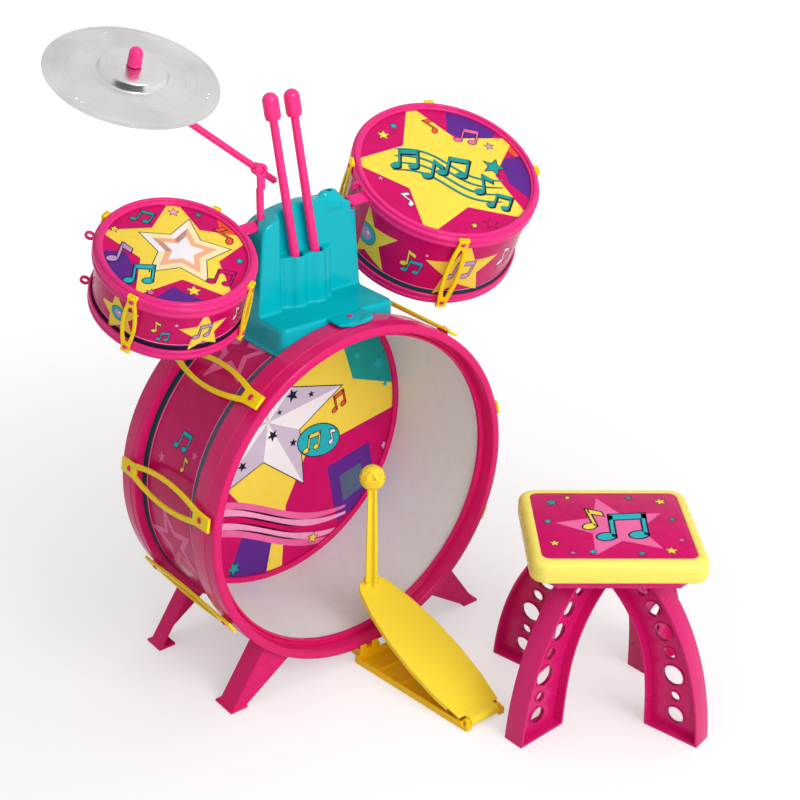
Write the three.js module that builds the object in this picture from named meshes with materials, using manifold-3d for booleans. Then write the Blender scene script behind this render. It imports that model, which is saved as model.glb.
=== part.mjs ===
// A child's plastic drum kit with stool, in millimetres.
// +Z is up, the player sits on the -Y side, and the origin is the middle of the kit's box on the floor.
import * as THREE from "three";
import { mergeVertices } from "three/addons/utils/BufferGeometryUtils.js";
import Module from "manifold-3d";

const wasm = await Module();
wasm.setup();

// ---- shared values ----
const seatingGap = 0.3; // clearance between pieces that touch
const tiny = 0.5; // how far a joined or cutting form runs into its neighbour
const deg = Math.PI / 180;

// ---- bass drum ----
const bass = {
  hoopRadius: 190,
  groundClearance: 14.5, // floor to the hoop's lowest point
  depth: 176, // front face of one hoop to front face of the other
  segments: 28,
  hoopWall: 3,
  rimWidth: 9.4,
  shellInset: 10, // hoop's outside to the shell's
  shellWall: 1.8,
  beadHeight: 0.8,
  beadPlace: 17,
  nearSkirt: 39.5,
  nearRecess: 17,
  nearLipInset: 6.2, // shell's outside to the near hoop's inner lip
  farSkirt: 26,
  farRecess: 8.5,
  farLipInset: 8,
  lipWidth: 3.4,
  nearLipRise: 2.6,
  farLipRise: 0,
  headThickness: 1.2,
};
bass.axisHeight = bass.hoopRadius + bass.groundClearance;
bass.shellRadius = bass.hoopRadius - bass.shellInset;
bass.nearLipRadius = bass.shellRadius - bass.nearLipInset;
bass.farLipRadius = bass.shellRadius - bass.farLipInset;

// ---- toms: place beside the stand, axis direction and sizes ----
const tomHoopWall = 2.6;
const tomLeft = {
  name: "left_tom",
  side: -1,
  standOff: 78.5, // stand's middle to the hoop's outside
  setback: 49, // stand's front to the playing rim's centre
  rise: 91.3, // stand's tray to the playing rim's centre
  axis: [-0.05, -0.4, 0.92],
  hoopRadius: 78.4,
  depth: 75,
  strapAngles: [-151, -58, 29, 117],
  eyeletAngle: 138,
  tabAngle: 5,
  tabReach: 22,
};
const tomRight = {
  name: "right_tom",
  side: 1,
  standOff: 77.9,
  setback: 49,
  rise: 109.1,
  axis: [-0.1, -0.46, 0.88],
  hoopRadius: 104.2,
  depth: 107.5,
  strapAngles: [-117, -23, 64, 152],
  eyeletAngle: 168,
  tabAngle: 177,
  tabReach: 22,
};
const tomForm = {
  segments: 20,
  hoopSkirt: 15.5,
  stepDrop: 5,
  stepWidth: 3,
  rimWidth: 9.8,
  headDrop: 5.5,
  headThickness: 1,
  shellInset: 1.6,
  shellWall: 1.6,
  tabWidth: 16,
  tabThickness: 3,
  tabDrop: 8, // playing rim to the tab's upper face
  tabLip: 9,
  eyeletOuter: 5.2,
  eyeletInner: 2.5,
  eyeletThickness: 3,
};

// ---- tension straps and the lugs that hold them ----
const bassStrap = {
  holeInset: 19,
  farHoleInset: 23,
  endLength: 15,
  endWidth: 17,
  midWidth: 33,
  arm: 5,
  thickness: 3,
  pinRadius: 2.4,
  pinSides: 6,
  lugSize: 10,
  lugHeight: 2.6,
  bowSegments: 3,
};
const strapTurn = 92; // the pairs of bass straps lie evenly about this angle from +X
const strapPitch = 39.2;
const bassStrapAngles = [1, 2, 3].flatMap((i) => [strapTurn - strapPitch * i, strapTurn + strapPitch * i]);
const tomStrap = {
  holeInset: 8.5,
  farHoleInset: 8.5,
  endLength: 6.5,
  endWidth: 9.5,
  midWidth: 19,
  arm: 3.4,
  thickness: 2.6,
  pinRadius: 2.1,
  pinSides: 4,
  lugSize: 0,
  lugHeight: 0,
  bowSegments: 3,
};
const pinHolePlay = 1;
const pinProud = 1.2; // how far a strap pin stands out of its strap

// ---- feet ----
const foot = {
  inset: 8.5, // hoop face to the foot's web
  width: 26,
  farWidth: 22,
  wall: 3,
  farInset: 2.5,
  toeInset: 19, // hoop's side to the foot's toe
  toeWidth: 16.3,
  topOuterAngle: 312.5, // where the outer edge meets the hoop, from +X
  topInnerAngle: 299.5,
  padHeight: 3,
  padLip: 2.4,
};
foot.toeX = bass.hoopRadius - foot.toeInset;

// ---- pedal ----
const pedal = {
  centreX: 27.5,
  hingeY: -162,
  hingeZ: 7,
  tilt: 19,
  boardLength: 207,
  boardHeelHalf: 26,
  boardToeHalf: 19.5,
  boardSwell: 14, // how far the leaf's curve is drawn out past its heel
  boardToeStart: 193,
  boardTop: 3.2, // hinge line to the footboard's upper face
  boardThickness: 2.4,
  boardRim: 4,
  boardRimWall: 2.4,
  rimStart: 24, // the board's rim starts where it clears the tray when pressed
  barrelRadius: 5,
  barrelStart: 7,
  barrelEnd: 19,
  heelPlay: 1.2, // room round the barrels for the spring
  earPlay: 2, // and for the tray's ears
  pinRadius: 2,
  baseDrumHalf: 43,
  baseHeelHalf: 26.5,
  baseFrontY: -0.4,
  baseHeel: -6,
  baseThickness: 2,
  baseRim: 8,
  baseRimWall: 2.4,
  ribPitch: 34,
  earThickness: 5,
  springRadius: 4,
  springWire: 0.7,
  springTurns: 3,
  springPitch: 2.6,
  springReach: 14,
  springDip: 10, // slope of the leg under the footboard
  stickAlong: 198.5,
  socketDepth: 9,
  stickHeight: 133, // footboard to the ball's centre
  stickHalfLow: 8.6,
  stickHalfHigh: 6,
  stickRib: 3.2,
  ballRadius: 14.2,
};

// ---- stand ----
const stand = {
  shiftX: -3,
  wall: 2.4,
  baseHalf: 70.5,
  skirtGap: 1.5, // a hoop's skirt to the tray's end
  trayRise: 3.8, // the hoops' top to the tray's
  towerSetback: 57, // the tray's front to the tower's
  towerDepth: 19,
  towerBaseHalf: 70.5,
  towerShoulderHalf: 64,
  shoulderRise: 81.7, // the tray's top to the tower's shoulder
  towerRise: 97.7,
  crownRise: 14,
  columnReach: 15, // how far the column stands in front of the tower
  columnWidth: 31,
  flangeAngle: 25,
  flangeThickness: 2.6,
  tubeX: [-21.5, 3.5],
  tubeReach: 7.7, // the tower's front to the tubes' axes
  tubeRise: 54.7,
  tubeBore: 7.3,
  tubeWall: 2.4,
  tubeDepth: 25,
  blockHalf: 34,
  blockReach: 12,
  hookTabHalf: 22,
  hookTabLength: 25, // the hoop's skirt end to the tab's tip
  hookTabShift: 3,
  hookTabPinInset: 6.5, // the hoop's skirt end to its pin
  spareHoleX: 31,
  spareHoleSetback: 8,
  sleeveDepth: 60,
};
stand.frontY = bass.nearSkirt + stand.skirtGap;
stand.backY = bass.depth - bass.farSkirt - stand.skirtGap;
stand.trayTop = bass.axisHeight + bass.hoopRadius + stand.trayRise;
stand.shoulderHeight = stand.trayTop + stand.shoulderRise;
stand.towerTop = stand.trayTop + stand.towerRise;
stand.tubeTop = stand.trayTop + stand.tubeRise;
stand.towerFront = stand.frontY + stand.towerSetback;
stand.towerBack = stand.towerFront + stand.towerDepth;
stand.columnFront = stand.towerFront - stand.columnReach;
stand.tubeY = stand.towerFront - stand.tubeReach;
stand.blockFront = stand.towerFront - stand.blockReach;
stand.spareHoleY = stand.towerFront + stand.spareHoleSetback;
stand.hookTabTipY = bass.nearSkirt - stand.hookTabLength;
stand.hookTabPinY = bass.nearSkirt - stand.hookTabPinInset;

for (const tom of [tomLeft, tomRight]) {
  tom.centre = [
    stand.shiftX + tom.side * (tom.standOff + tom.hoopRadius),
    stand.frontY + tom.setback,
    stand.trayTop + tom.rise,
  ];
}

// ---- cymbal, its rod and arm ----
const cymbal = {
  fromKnuckle: [-135.3, -2.7, 112], // rod's knuckle to the middle of the rim
  axis: [0.01, -0.38, 0.93],
  radius: 80.5,
  thickness: 0.9,
  bellRadius: 33,
  bellTopRadius: 27.5,
  bellRise: 7.5,
  coneRise: 4,
  lipWidth: 3.2,
  holeRadius: 3.6,
  segments: 24,
};
const rod = {
  fromStand: -52, // the stand's middle to the rod, along X
  setback: 5, // the tower's front to the rod
  radius: 3.9,
  knuckleRise: 48.5, // the tower's top to the knuckle
  eyeRadius: 7.2,
  eyeHole: 3.7,
  neckLength: 19,
  fit: 0.4, // radial play in the stand's sleeve
};
rod.x = stand.shiftX + rod.fromStand;
rod.y = stand.towerFront + rod.setback;
rod.knuckleHeight = stand.towerTop + rod.knuckleRise;
cymbal.centre = [rod.x, rod.y, rod.knuckleHeight].map((value, i) => value + cymbal.fromKnuckle[i]);
const arm = {
  radius: 3.5,
  ribWidth: 2.6,
  tailLength: 27,
  drop: 7, // rim's centre down to the arm's end, along the cymbal's axis
  studRadius: 3,
  flangeRadius: 8,
  capRadius: 6.3,
  capLength: 18,
};

// ---- drumsticks ----
const drumstick = {
  length: 196,
  buttRadius: 5,
  neckRadius: 4.2,
  headRadius: 8.1,
  headLength: 28,
  lean: 9,
};

// ---- stool ----
const stool = {
  x: 155,
  y: -204,
  yaw: -38,
  height: 210.5,
  width: 177,
  depth: 151,
  cornerRadius: 17,
  edge: 6,
  sideHeight: 23,
  wall: 3,
  labelWidth: 155,
  labelDepth: 129,
  labelRadius: 9,
  labelRecess: 0.9,
  ribHeight: 12,
  plateChamfer: 21,
  plateDrop: 9, // how far the leg plates show below the seat
  plateThickness: 3,
  legFootOuter: 128,
  legFootInner: 66,
  legWidth: 24,
  legWall: 2.6,
  webWall: 2.6,
  archDrop: 54.5, // the seat's top to the arch's
  shoulderS: 60,
  shoulderDrop: 42.5,
  hipReach: 45, // the bend under the shoulder, outwards from it
  hipDrop: 85.5,
  kneeInset: 4, // the bend above the foot, inwards from it
  kneeHeight: 60,
  holeRadii: [9.5, 5.5, 11.5, 6.5, 10, 8.5, 6.5],
};

// ---- finishes ----
const hotPink = { color: 0xe8256f, roughness: 0.32, metalness: 0 };
const legPink = { color: 0xc81a66, roughness: 0.38, metalness: 0 };
const magentaPrint = { color: 0xb90f58, roughness: 0.3, metalness: 0 };
const headPrint = { color: 0xe9bf3d, roughness: 0.35, metalness: 0 };
const yellow = { color: 0xf6d11f, roughness: 0.36, metalness: 0 };
const paleYellow = { color: 0xf3df6a, roughness: 0.34, metalness: 0 };
const teal = { color: 0x00a9b8, roughness: 0.33, metalness: 0 };
const steel = { color: 0xc9c9cb, roughness: 0.28, metalness: 1 };
const stickPink = { color: 0xf0307f, roughness: 0.3, metalness: 0 };

// ---- making and joining forms ----
function toSolid(geometry) {
  const bare = new THREE.BufferGeometry();
  bare.setAttribute("position", geometry.getAttribute("position").clone());
  if (geometry.index) bare.setIndex(geometry.index.clone());
  const merged = mergeVertices(bare, 1e-3);
  const vertProperties = new Float32Array(merged.attributes.position.array);
  const triVerts = new Uint32Array(merged.index.array);
  return new wasm.Manifold(new wasm.Mesh({ numProp: 3, vertProperties, triVerts }));
}

function toGeometry(solid) {
  const mesh = solid.getMesh();
  const geometry = new THREE.BufferGeometry();
  geometry.setAttribute("position", new THREE.BufferAttribute(mesh.vertProperties, 3));
  geometry.setIndex(new THREE.BufferAttribute(mesh.triVerts, 1));
  geometry.computeVertexNormals();
  return geometry;
}

const join = (...forms) => toGeometry(forms.map(toSolid).reduce((a, b) => a.add(b)));
const cut = (form, ...tools) => toGeometry(tools.map(toSolid).reduce((a, b) => a.subtract(b), toSolid(form)));
const common = (a, b) => toGeometry(toSolid(a).intersect(toSolid(b)));

// A box between two corners.
function block(x0, y0, z0, x1, y1, z1) {
  const geometry = new THREE.BoxGeometry(x1 - x0, y1 - y0, z1 - z0);
  return geometry.translate((x0 + x1) / 2, (y0 + y1) / 2, (z0 + z1) / 2);
}

// A profile of [radius, height] points, counter-clockwise, turned about Z.
function turned(profile, segments) {
  const points = profile.map(([r, z]) => new THREE.Vector2(r, z));
  if (profile[0][0] > 0) points.push(points[0].clone());
  return new THREE.LatheGeometry(points, segments).rotateX(Math.PI / 2);
}

// A round bar from z0 to z1 about Z.
const bar = (radius, z0, z1, segments = 24, radiusTop = radius) =>
  turned([[0, z0], [radius, z0], [radiusTop, z1], [0, z1]], segments);

// A shape in X and Z, made solid from y0 to y1.
function slabY(shape, y0, y1, curveSegments = 8) {
  const geometry = new THREE.ExtrudeGeometry(shape, { depth: y1 - y0, bevelEnabled: false, curveSegments });
  return geometry.rotateX(Math.PI / 2).translate(0, y1, 0);
}

// A shape in X and Y, made solid from z0 to z1.
function slabZ(shape, z0, z1, curveSegments = 8) {
  const geometry = new THREE.ExtrudeGeometry(shape, { depth: z1 - z0, bevelEnabled: false, curveSegments });
  return geometry.translate(0, 0, z0);
}

const polygon = (points) => new THREE.Shape(points.map(([x, y]) => new THREE.Vector2(x, y)));

// A closed path of equal sides about a point.
function regularPath(x, y, radius, sides) {
  const path = new THREE.Path();
  for (let i = 0; i < sides; i++) {
    const angle = ((i + 0.5) / sides) * 2 * Math.PI;
    path[i ? "lineTo" : "moveTo"](x + radius * Math.cos(angle), y + radius * Math.sin(angle));
  }
  return path;
}

function roundedRectangle(halfX, halfY, radius) {
  const shape = new THREE.Shape();
  shape.absarc(halfX - radius, halfY - radius, radius, 0, 90 * deg);
  shape.absarc(radius - halfX, halfY - radius, radius, 90 * deg, 180 * deg);
  shape.absarc(radius - halfX, radius - halfY, radius, 180 * deg, 270 * deg);
  shape.absarc(halfX - radius, radius - halfY, radius, 270 * deg, 360 * deg);
  return shape;
}

function mesh(name, geometry, finish) {
  const made = new THREE.Mesh(geometry, new THREE.MeshStandardMaterial(finish));
  made.name = name;
  return made;
}

// ---- parts that all three drums share ----

// A yellow tension strap: two bowed arms joined at squared ends, length along Z, facing +X.
function strapForm(spec, holeSpacing) {
  const half = holeSpacing / 2;
  const bowStart = half - spec.endLength / 2;
  const outerBow = spec.midWidth - spec.endWidth / 2;
  const innerEnd = spec.endWidth / 2 - spec.arm;
  const innerStart = bowStart - spec.arm;
  const innerBow = spec.midWidth - 2 * spec.arm - innerEnd;
  const shape = new THREE.Shape();
  shape.moveTo(spec.endWidth / 2, -half - spec.endLength);
  shape.lineTo(spec.endWidth / 2, -bowStart);
  shape.quadraticCurveTo(outerBow, 0, spec.endWidth / 2, bowStart);
  shape.lineTo(spec.endWidth / 2, half + spec.endLength);
  shape.lineTo(-spec.endWidth / 2, half + spec.endLength);
  shape.lineTo(-spec.endWidth / 2, bowStart);
  shape.quadraticCurveTo(-outerBow, 0, -spec.endWidth / 2, -bowStart);
  shape.lineTo(-spec.endWidth / 2, -half - spec.endLength);
  const window = new THREE.Path();
  window.moveTo(innerEnd, -innerStart);
  window.quadraticCurveTo(innerBow, 0, innerEnd, innerStart);
  window.lineTo(-innerEnd, innerStart);
  window.quadraticCurveTo(-innerBow, 0, -innerEnd, -innerStart);
  const pinHoles = [-half, half].map((y) =>
    regularPath(0, y, spec.pinRadius + pinHolePlay, spec.pinSides));
  shape.holes.push(window, ...pinHoles);
  const geometry = new THREE.ExtrudeGeometry(shape, {
    depth: spec.thickness,
    bevelEnabled: false,
    curveSegments: spec.bowSegments,
  });
  return geometry.rotateX(Math.PI / 2).rotateZ(Math.PI / 2);
}

// The pin on a hoop's outside for a strap's end, standing on a lug where the hoop has one.
function strapLug(spec, hoopRadius, angle, height) {
  const { lugHeight, lugSize } = spec;
  const pinEnd = lugHeight + seatingGap + spec.thickness + pinProud;
  const pin = bar(spec.pinRadius, -4 * tiny, pinEnd, spec.pinSides).rotateY(Math.PI / 2);
  const lug = lugSize
    ? join(pin, block(-lugHeight, -lugSize / 2, -lugSize / 2, lugHeight, lugSize / 2, lugSize / 2))
    : pin;
  return lug.translate(hoopRadius, 0, height).rotateZ(angle * deg);
}

// Straps stand on their lugs, one at each angle, from the near hoop to the far one.
function strapSet(name, spec, drum, angles) {
  const group = new THREE.Group();
  const spacing = drum.depth - spec.holeInset - spec.farHoleInset;
  angles.forEach((angle, i) => {
    const strap = mesh(`${name}_strap_${i + 1}`, strapForm(spec, spacing), yellow);
    const radius = drum.hoopRadius + spec.lugHeight + seatingGap;
    strap.position.set(radius * Math.cos(angle * deg), radius * Math.sin(angle * deg),
      -spec.holeInset - spacing / 2);
    strap.rotation.z = angle * deg;
    group.add(strap);
  });
  return group;
}

// ---- bass drum, made with its axis along Z and its near rim at z = 0 ----
function bassHoopForm(skirt, recess, lipRadius, lipRise, strapInset, angles, extras) {
  const { hoopRadius: r, hoopWall: wall, beadHeight, beadPlace } = bass;
  const rimInner = r - bass.rimWidth;
  const lip = lipRise > 0
    ? [[lipRadius + bass.lipWidth, -recess], [lipRadius, lipRise - recess]]
    : [[lipRadius, -recess]];
  const chamfer = 1.4;
  const profile = [
    [r, -skirt],
    [r, -beadPlace - chamfer],
    [r + beadHeight, -beadPlace],
    [r, -beadPlace + chamfer],
    [r, -chamfer],
    [r - chamfer, 0],
    [rimInner, 0],
    [rimInner, -recess],
    ...lip,
    [lipRadius, -recess - wall],
    [r - wall, -recess - wall],
    [r - wall, -skirt + wall],
    [bass.shellRadius + seatingGap, -skirt + wall],
    [bass.shellRadius + seatingGap, -skirt],
  ];
  const lugs = angles.map((angle) => strapLug(bassStrap, r, angle, -strapInset));
  return join(turned(profile, bass.segments), ...lugs, ...extras);
}

function makeBassDrum() {
  const group = new THREE.Group();
  const { depth, hoopWall } = bass;
  const hookPinEnd = pinProud + stand.trayRise;
  const hookPin = bar(bassStrap.pinRadius, -tiny, hookPinEnd, 12)
    .rotateX(-Math.PI / 2)
    .translate(stand.hookTabShift, bass.hoopRadius - tiny, -stand.hookTabPinY);
  const near = bassHoopForm(bass.nearSkirt, bass.nearRecess, bass.nearLipRadius, bass.nearLipRise,
    bassStrap.holeInset, bassStrapAngles, [hookPin]);
  group.add(mesh("bass_near_hoop", near, hotPink));
  const farAngles = bassStrapAngles.map((angle) => -angle);
  const farPin = bar(bassStrap.pinRadius, -tiny, hookPinEnd, 12)
    .rotateX(Math.PI / 2)
    .translate(stand.hookTabShift, tiny - bass.hoopRadius, bass.farSkirt / 2 - bass.farSkirt);
  const far = bassHoopForm(bass.farSkirt, bass.farRecess, bass.farLipRadius, bass.farLipRise,
    bassStrap.farHoleInset, farAngles, [farPin]).rotateX(Math.PI).translate(0, 0, -depth);
  group.add(mesh("bass_far_hoop", far, hotPink));

  // The printed head lies in the far hoop's recess, on the web round its opening.
  const webOuterFace = -depth + bass.farRecess;
  const headRadius = bass.hoopRadius - bass.rimWidth - seatingGap;
  const headTop = webOuterFace - bass.farLipRise - seatingGap;
  const headForm = bar(headRadius, headTop - bass.headThickness, headTop, bass.segments);
  group.add(mesh("bass_head", headForm, headPrint));

  const shellNear = -bass.nearRecess - hoopWall - seatingGap;
  const shellFar = webOuterFace + hoopWall + seatingGap;
  const shellForm = turned([
    [bass.shellRadius, shellFar],
    [bass.shellRadius, shellNear],
    [bass.shellRadius - bass.shellWall, shellNear],
    [bass.shellRadius - bass.shellWall, shellFar],
  ], bass.segments);
  group.add(mesh("bass_shell", shellForm, magentaPrint));
  group.add(strapSet("bass", bassStrap, bass, bassStrapAngles));
  group.rotation.x = Math.PI / 2;
  group.position.z = bass.axisHeight;
  return group;
}

// ---- toms, made with their axis along Z and their playing rim at z = 0 ----
function tomHoopForm(tom, angles, extras) {
  const r = tom.hoopRadius;
  const rimOuter = r - tomForm.stepWidth;
  const rimInner = r - tomForm.rimWidth;
  const chamfer = 1.3;
  const profile = [
    [r, -tomForm.hoopSkirt],
    [r, -tomForm.stepDrop - chamfer],
    [rimOuter, -tomForm.stepDrop],
    [rimOuter, -chamfer],
    [rimOuter - chamfer, 0],
    [rimInner, 0],
    [rimInner, -tomForm.headDrop],
    [r - tomHoopWall, -tomForm.headDrop],
    [r - tomHoopWall, -tomForm.hoopSkirt],
  ];
  const lugs = angles.map((angle) => strapLug(tomStrap, r, angle, -tomStrap.holeInset));
  return join(turned(profile, tomForm.segments), ...lugs, ...extras);
}

// A small loop standing out of a hoop in the plane of its radius.
function eyelet(tom, angle) {
  const { eyeletOuter: outer, eyeletInner: inner, eyeletThickness: thickness } = tomForm;
  const shape = new THREE.Shape().absarc(0, 0, outer, 0, 2 * Math.PI);
  shape.holes.push(regularPath(0, 0, inner, 6));
  return slabY(shape, -thickness / 2, thickness / 2, 4)
    .translate(tom.hoopRadius + inner + tiny, 0, -tomStrap.holeInset)
    .rotateZ(angle * deg);
}

// The flat tab that carries a tom, with a lip that turns down inside the stand.
function standTab(tom, play) {
  const { tabWidth, tabThickness, tabLip, tabDrop } = tomForm;
  const top = -tabDrop + play;
  const start = tom.hoopRadius - tomHoopWall + tiny;
  const end = tom.hoopRadius + tom.tabReach + play;
  const halfWidth = tabWidth / 2 + play;
  const plate = block(start, -halfWidth, top - tabThickness - 2 * play, end, halfWidth, top);
  const lip = block(end - tabThickness - 2 * play, -halfWidth, top - tabLip - 2 * play, end, halfWidth, top);
  return join(plate, lip).rotateZ(tom.tabAngle * deg);
}

// Where a tom stands: its playing rim's centre and the direction of its axis.
function placeTom(object, tom) {
  object.position.set(...tom.centre);
  object.quaternion.setFromUnitVectors(
    new THREE.Vector3(0, 0, 1), new THREE.Vector3(...tom.axis).normalize());
  object.updateMatrix();
  return object;
}

function makeTom(tom) {
  const group = new THREE.Group();
  const { headDrop, headThickness } = tomForm;
  const top = tomHoopForm(tom, tom.strapAngles, [eyelet(tom, tom.eyeletAngle), standTab(tom, 0)]);
  group.add(mesh(`${tom.name}_top_hoop`, top, hotPink));
  const lowerAngles = tom.strapAngles.map((angle) => -angle);
  const lower = tomHoopForm(tom, lowerAngles, [eyelet(tom, -tom.eyeletAngle)])
    .rotateX(Math.PI)
    .translate(0, 0, -tom.depth);
  group.add(mesh(`${tom.name}_bottom_hoop`, lower, hotPink));

  const innerRadius = tom.hoopRadius - tomHoopWall;
  const headTop = -headDrop - seatingGap;
  const head = bar(innerRadius - seatingGap, headTop - headThickness, headTop, tomForm.segments);
  group.add(mesh(`${tom.name}_head`, head, headPrint));

  const shellRadius = innerRadius - tomForm.shellInset;
  const shellTop = headTop - headThickness - seatingGap;
  const shellBottom = -tom.depth + headDrop + seatingGap;
  const shell = turned([
    [shellRadius, shellBottom],
    [shellRadius, shellTop],
    [shellRadius - tomForm.shellWall, shellTop],
    [shellRadius - tomForm.shellWall, shellBottom],
  ], tomForm.segments);
  group.add(mesh(`${tom.name}_shell`, shell, magentaPrint));
  group.add(strapSet(tom.name, tomStrap, tom, tom.strapAngles));
  return placeTom(group, tom);
}

// ---- feet: an outer plate and a tapering web on a small pad, mirrored left to right and near to far ----
function footForm(webY, width, direction) {
  const point = (angle, radius = bass.hoopRadius - 4) => [
    radius * Math.cos(angle * deg),
    bass.axisHeight + radius * Math.sin(angle * deg),
  ];
  const { toeX, toeWidth, wall, padHeight, padLip } = foot;
  const outerTop = point(foot.topOuterAngle);
  const innerTop = point(foot.topInnerAngle);
  const web = polygon([[toeX, 0], outerTop, innerTop, [toeX - toeWidth, 0]]);
  const slope = new THREE.Vector2(outerTop[0] - toeX, outerTop[1]).normalize();
  const across = [-slope.y * wall, slope.x * wall];
  const plate = polygon([
    [toeX, 0],
    outerTop,
    [outerTop[0] + across[0], outerTop[1] + across[1]],
    [toeX + across[0], 0],
  ]);
  const near = Math.min(webY, webY + direction * wall);
  const plateNear = Math.min(webY, webY + direction * width);
  const pad = block(toeX - toeWidth - padLip, plateNear - padLip, 0, toeX + padLip,
    plateNear + width + padLip, padHeight);
  const form = join(slabY(web, near, near + wall), slabY(plate, plateNear, plateNear + width), pad);
  const saddle = bar(bass.hoopRadius + bass.beadHeight + seatingGap, -tiny, bass.depth + tiny, bass.segments)
    .rotateX(-Math.PI / 2)
    .translate(0, 0, bass.axisHeight);
  return cut(form, saddle);
}

function makeFeet() {
  const group = new THREE.Group();
  const near = footForm(foot.inset, foot.width, 1);
  const far = footForm(bass.depth - foot.farInset, foot.farWidth, -1);
  for (const [place, form] of [["near", near], ["far", far]]) {
    group.add(mesh(`foot_${place}_right`, form, hotPink));
    group.add(mesh(`foot_${place}_left`, mirroredX(form), hotPink));
  }
  return group;
}

// A copy of a form reflected in the YZ plane, with its faces turned back out.
function mirroredX(form) {
  const copy = form.clone().scale(-1, 1, 1);
  const index = copy.index.array;
  for (let i = 0; i < index.length; i += 3) [index[i + 1], index[i + 2]] = [index[i + 2], index[i + 1]];
  copy.computeVertexNormals();
  return copy;
}

// ---- pedal, made about the middle of its hinge ----
function makePedalBase() {
  const { baseDrumHalf, baseHeelHalf, baseThickness, baseRim, baseRimWall, hingeY, hingeZ } = pedal;
  const front = pedal.baseFrontY - hingeY;
  const back = pedal.baseHeel;
  const widthAt = (y) => baseHeelHalf + ((baseDrumHalf - baseHeelHalf) * (y - back)) / (front - back);
  const outline = (inset) => polygon([
    [-widthAt(back) + inset, back + inset],
    [widthAt(back) - inset, back + inset],
    [widthAt(front) - inset, front - inset],
    [-widthAt(front) + inset, front - inset],
  ]);
  const tray = cut(
    slabZ(outline(0), 0, baseRim),
    slabZ(outline(baseRimWall), baseThickness, baseRim + tiny),
  );
  const ribTop = baseRim - 2;
  const ribs = [];
  for (let y = back + pedal.ribPitch; y < front - baseRimWall; y += pedal.ribPitch) {
    const half = widthAt(y) - baseRimWall + tiny;
    ribs.push(block(-half, y - 1, baseThickness - tiny, half, y + 1, ribTop));
  }
  const ears = [-1, 1].map((side) => {
    const inner = pedal.barrelEnd + seatingGap;
    const [x0, x1] = side < 0 ? [-inner - pedal.earThickness, -inner] : [inner, inner + pedal.earThickness];
    const ear = bar(pedal.barrelRadius, x0, x1, 12).rotateY(Math.PI / 2).translate(0, 0, hingeZ);
    return join(ear, block(x0, -pedal.barrelRadius, 0, x1, pedal.barrelRadius, hingeZ));
  });
  // A tongue lies under the hoop's lowest stretch, with two hooks up in front and a catch behind.
  const hoopBottom = bass.groundClearance;
  const hookX = -pedal.centreX;
  const tongueTop = hoopBottom - bass.beadHeight - seatingGap;
  const catchY = bass.nearSkirt - hingeY + seatingGap;
  const tongue = block(hookX - 8, front - baseRimWall, baseThickness, hookX + 19, catchY + 3, tongueTop);
  const catchBar = block(hookX - 8, catchY, baseThickness, hookX + 19, catchY + 3, hoopBottom + 2.5);
  const hooks = [-4, 12].map((x) =>
    block(hookX + x - 4, front - baseRimWall, baseThickness, hookX + x + 4, front, hoopBottom + 5));
  const pinHole = bar(pedal.pinRadius + 0.05, -baseDrumHalf, baseDrumHalf, 12)
    .rotateY(Math.PI / 2)
    .translate(0, 0, hingeZ);
  // The barrels and the spring turn in a window through the tray's rim and floor.
  const reach = pedal.barrelRadius + 1;
  const wellHalf = pedal.barrelEnd + seatingGap;
  const well = block(-wellHalf, back - tiny, -tiny, wellHalf, reach, baseRim + tiny);
  const form = cut(join(tray, ...ribs, ...ears, tongue, catchBar, ...hooks), pinHole, well);
  const base = mesh("pedal_base", form, yellow);
  base.position.set(0, 0, -hingeZ);
  return base;
}

// The footboard's leaf outline, from heel to toe along +Y.
function leafOutline(inset) {
  const heel = pedal.boardHeelHalf - inset;
  const toe = pedal.boardToeHalf - inset;
  const wide = pedal.boardHeelHalf + pedal.boardSwell - inset;
  const end = pedal.boardLength - inset;
  const start = pedal.boardToeStart;
  const shape = new THREE.Shape();
  shape.moveTo(-heel, inset);
  shape.lineTo(heel, inset);
  shape.bezierCurveTo(wide, 0.36 * start, wide - 4, 0.73 * start, toe, start);
  shape.quadraticCurveTo(toe - 5, end, 0, end);
  shape.quadraticCurveTo(5 - toe, end, -toe, start);
  shape.bezierCurveTo(4 - wide, 0.73 * start, -wide, 0.36 * start, -heel, inset);
  return shape;
}

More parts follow.
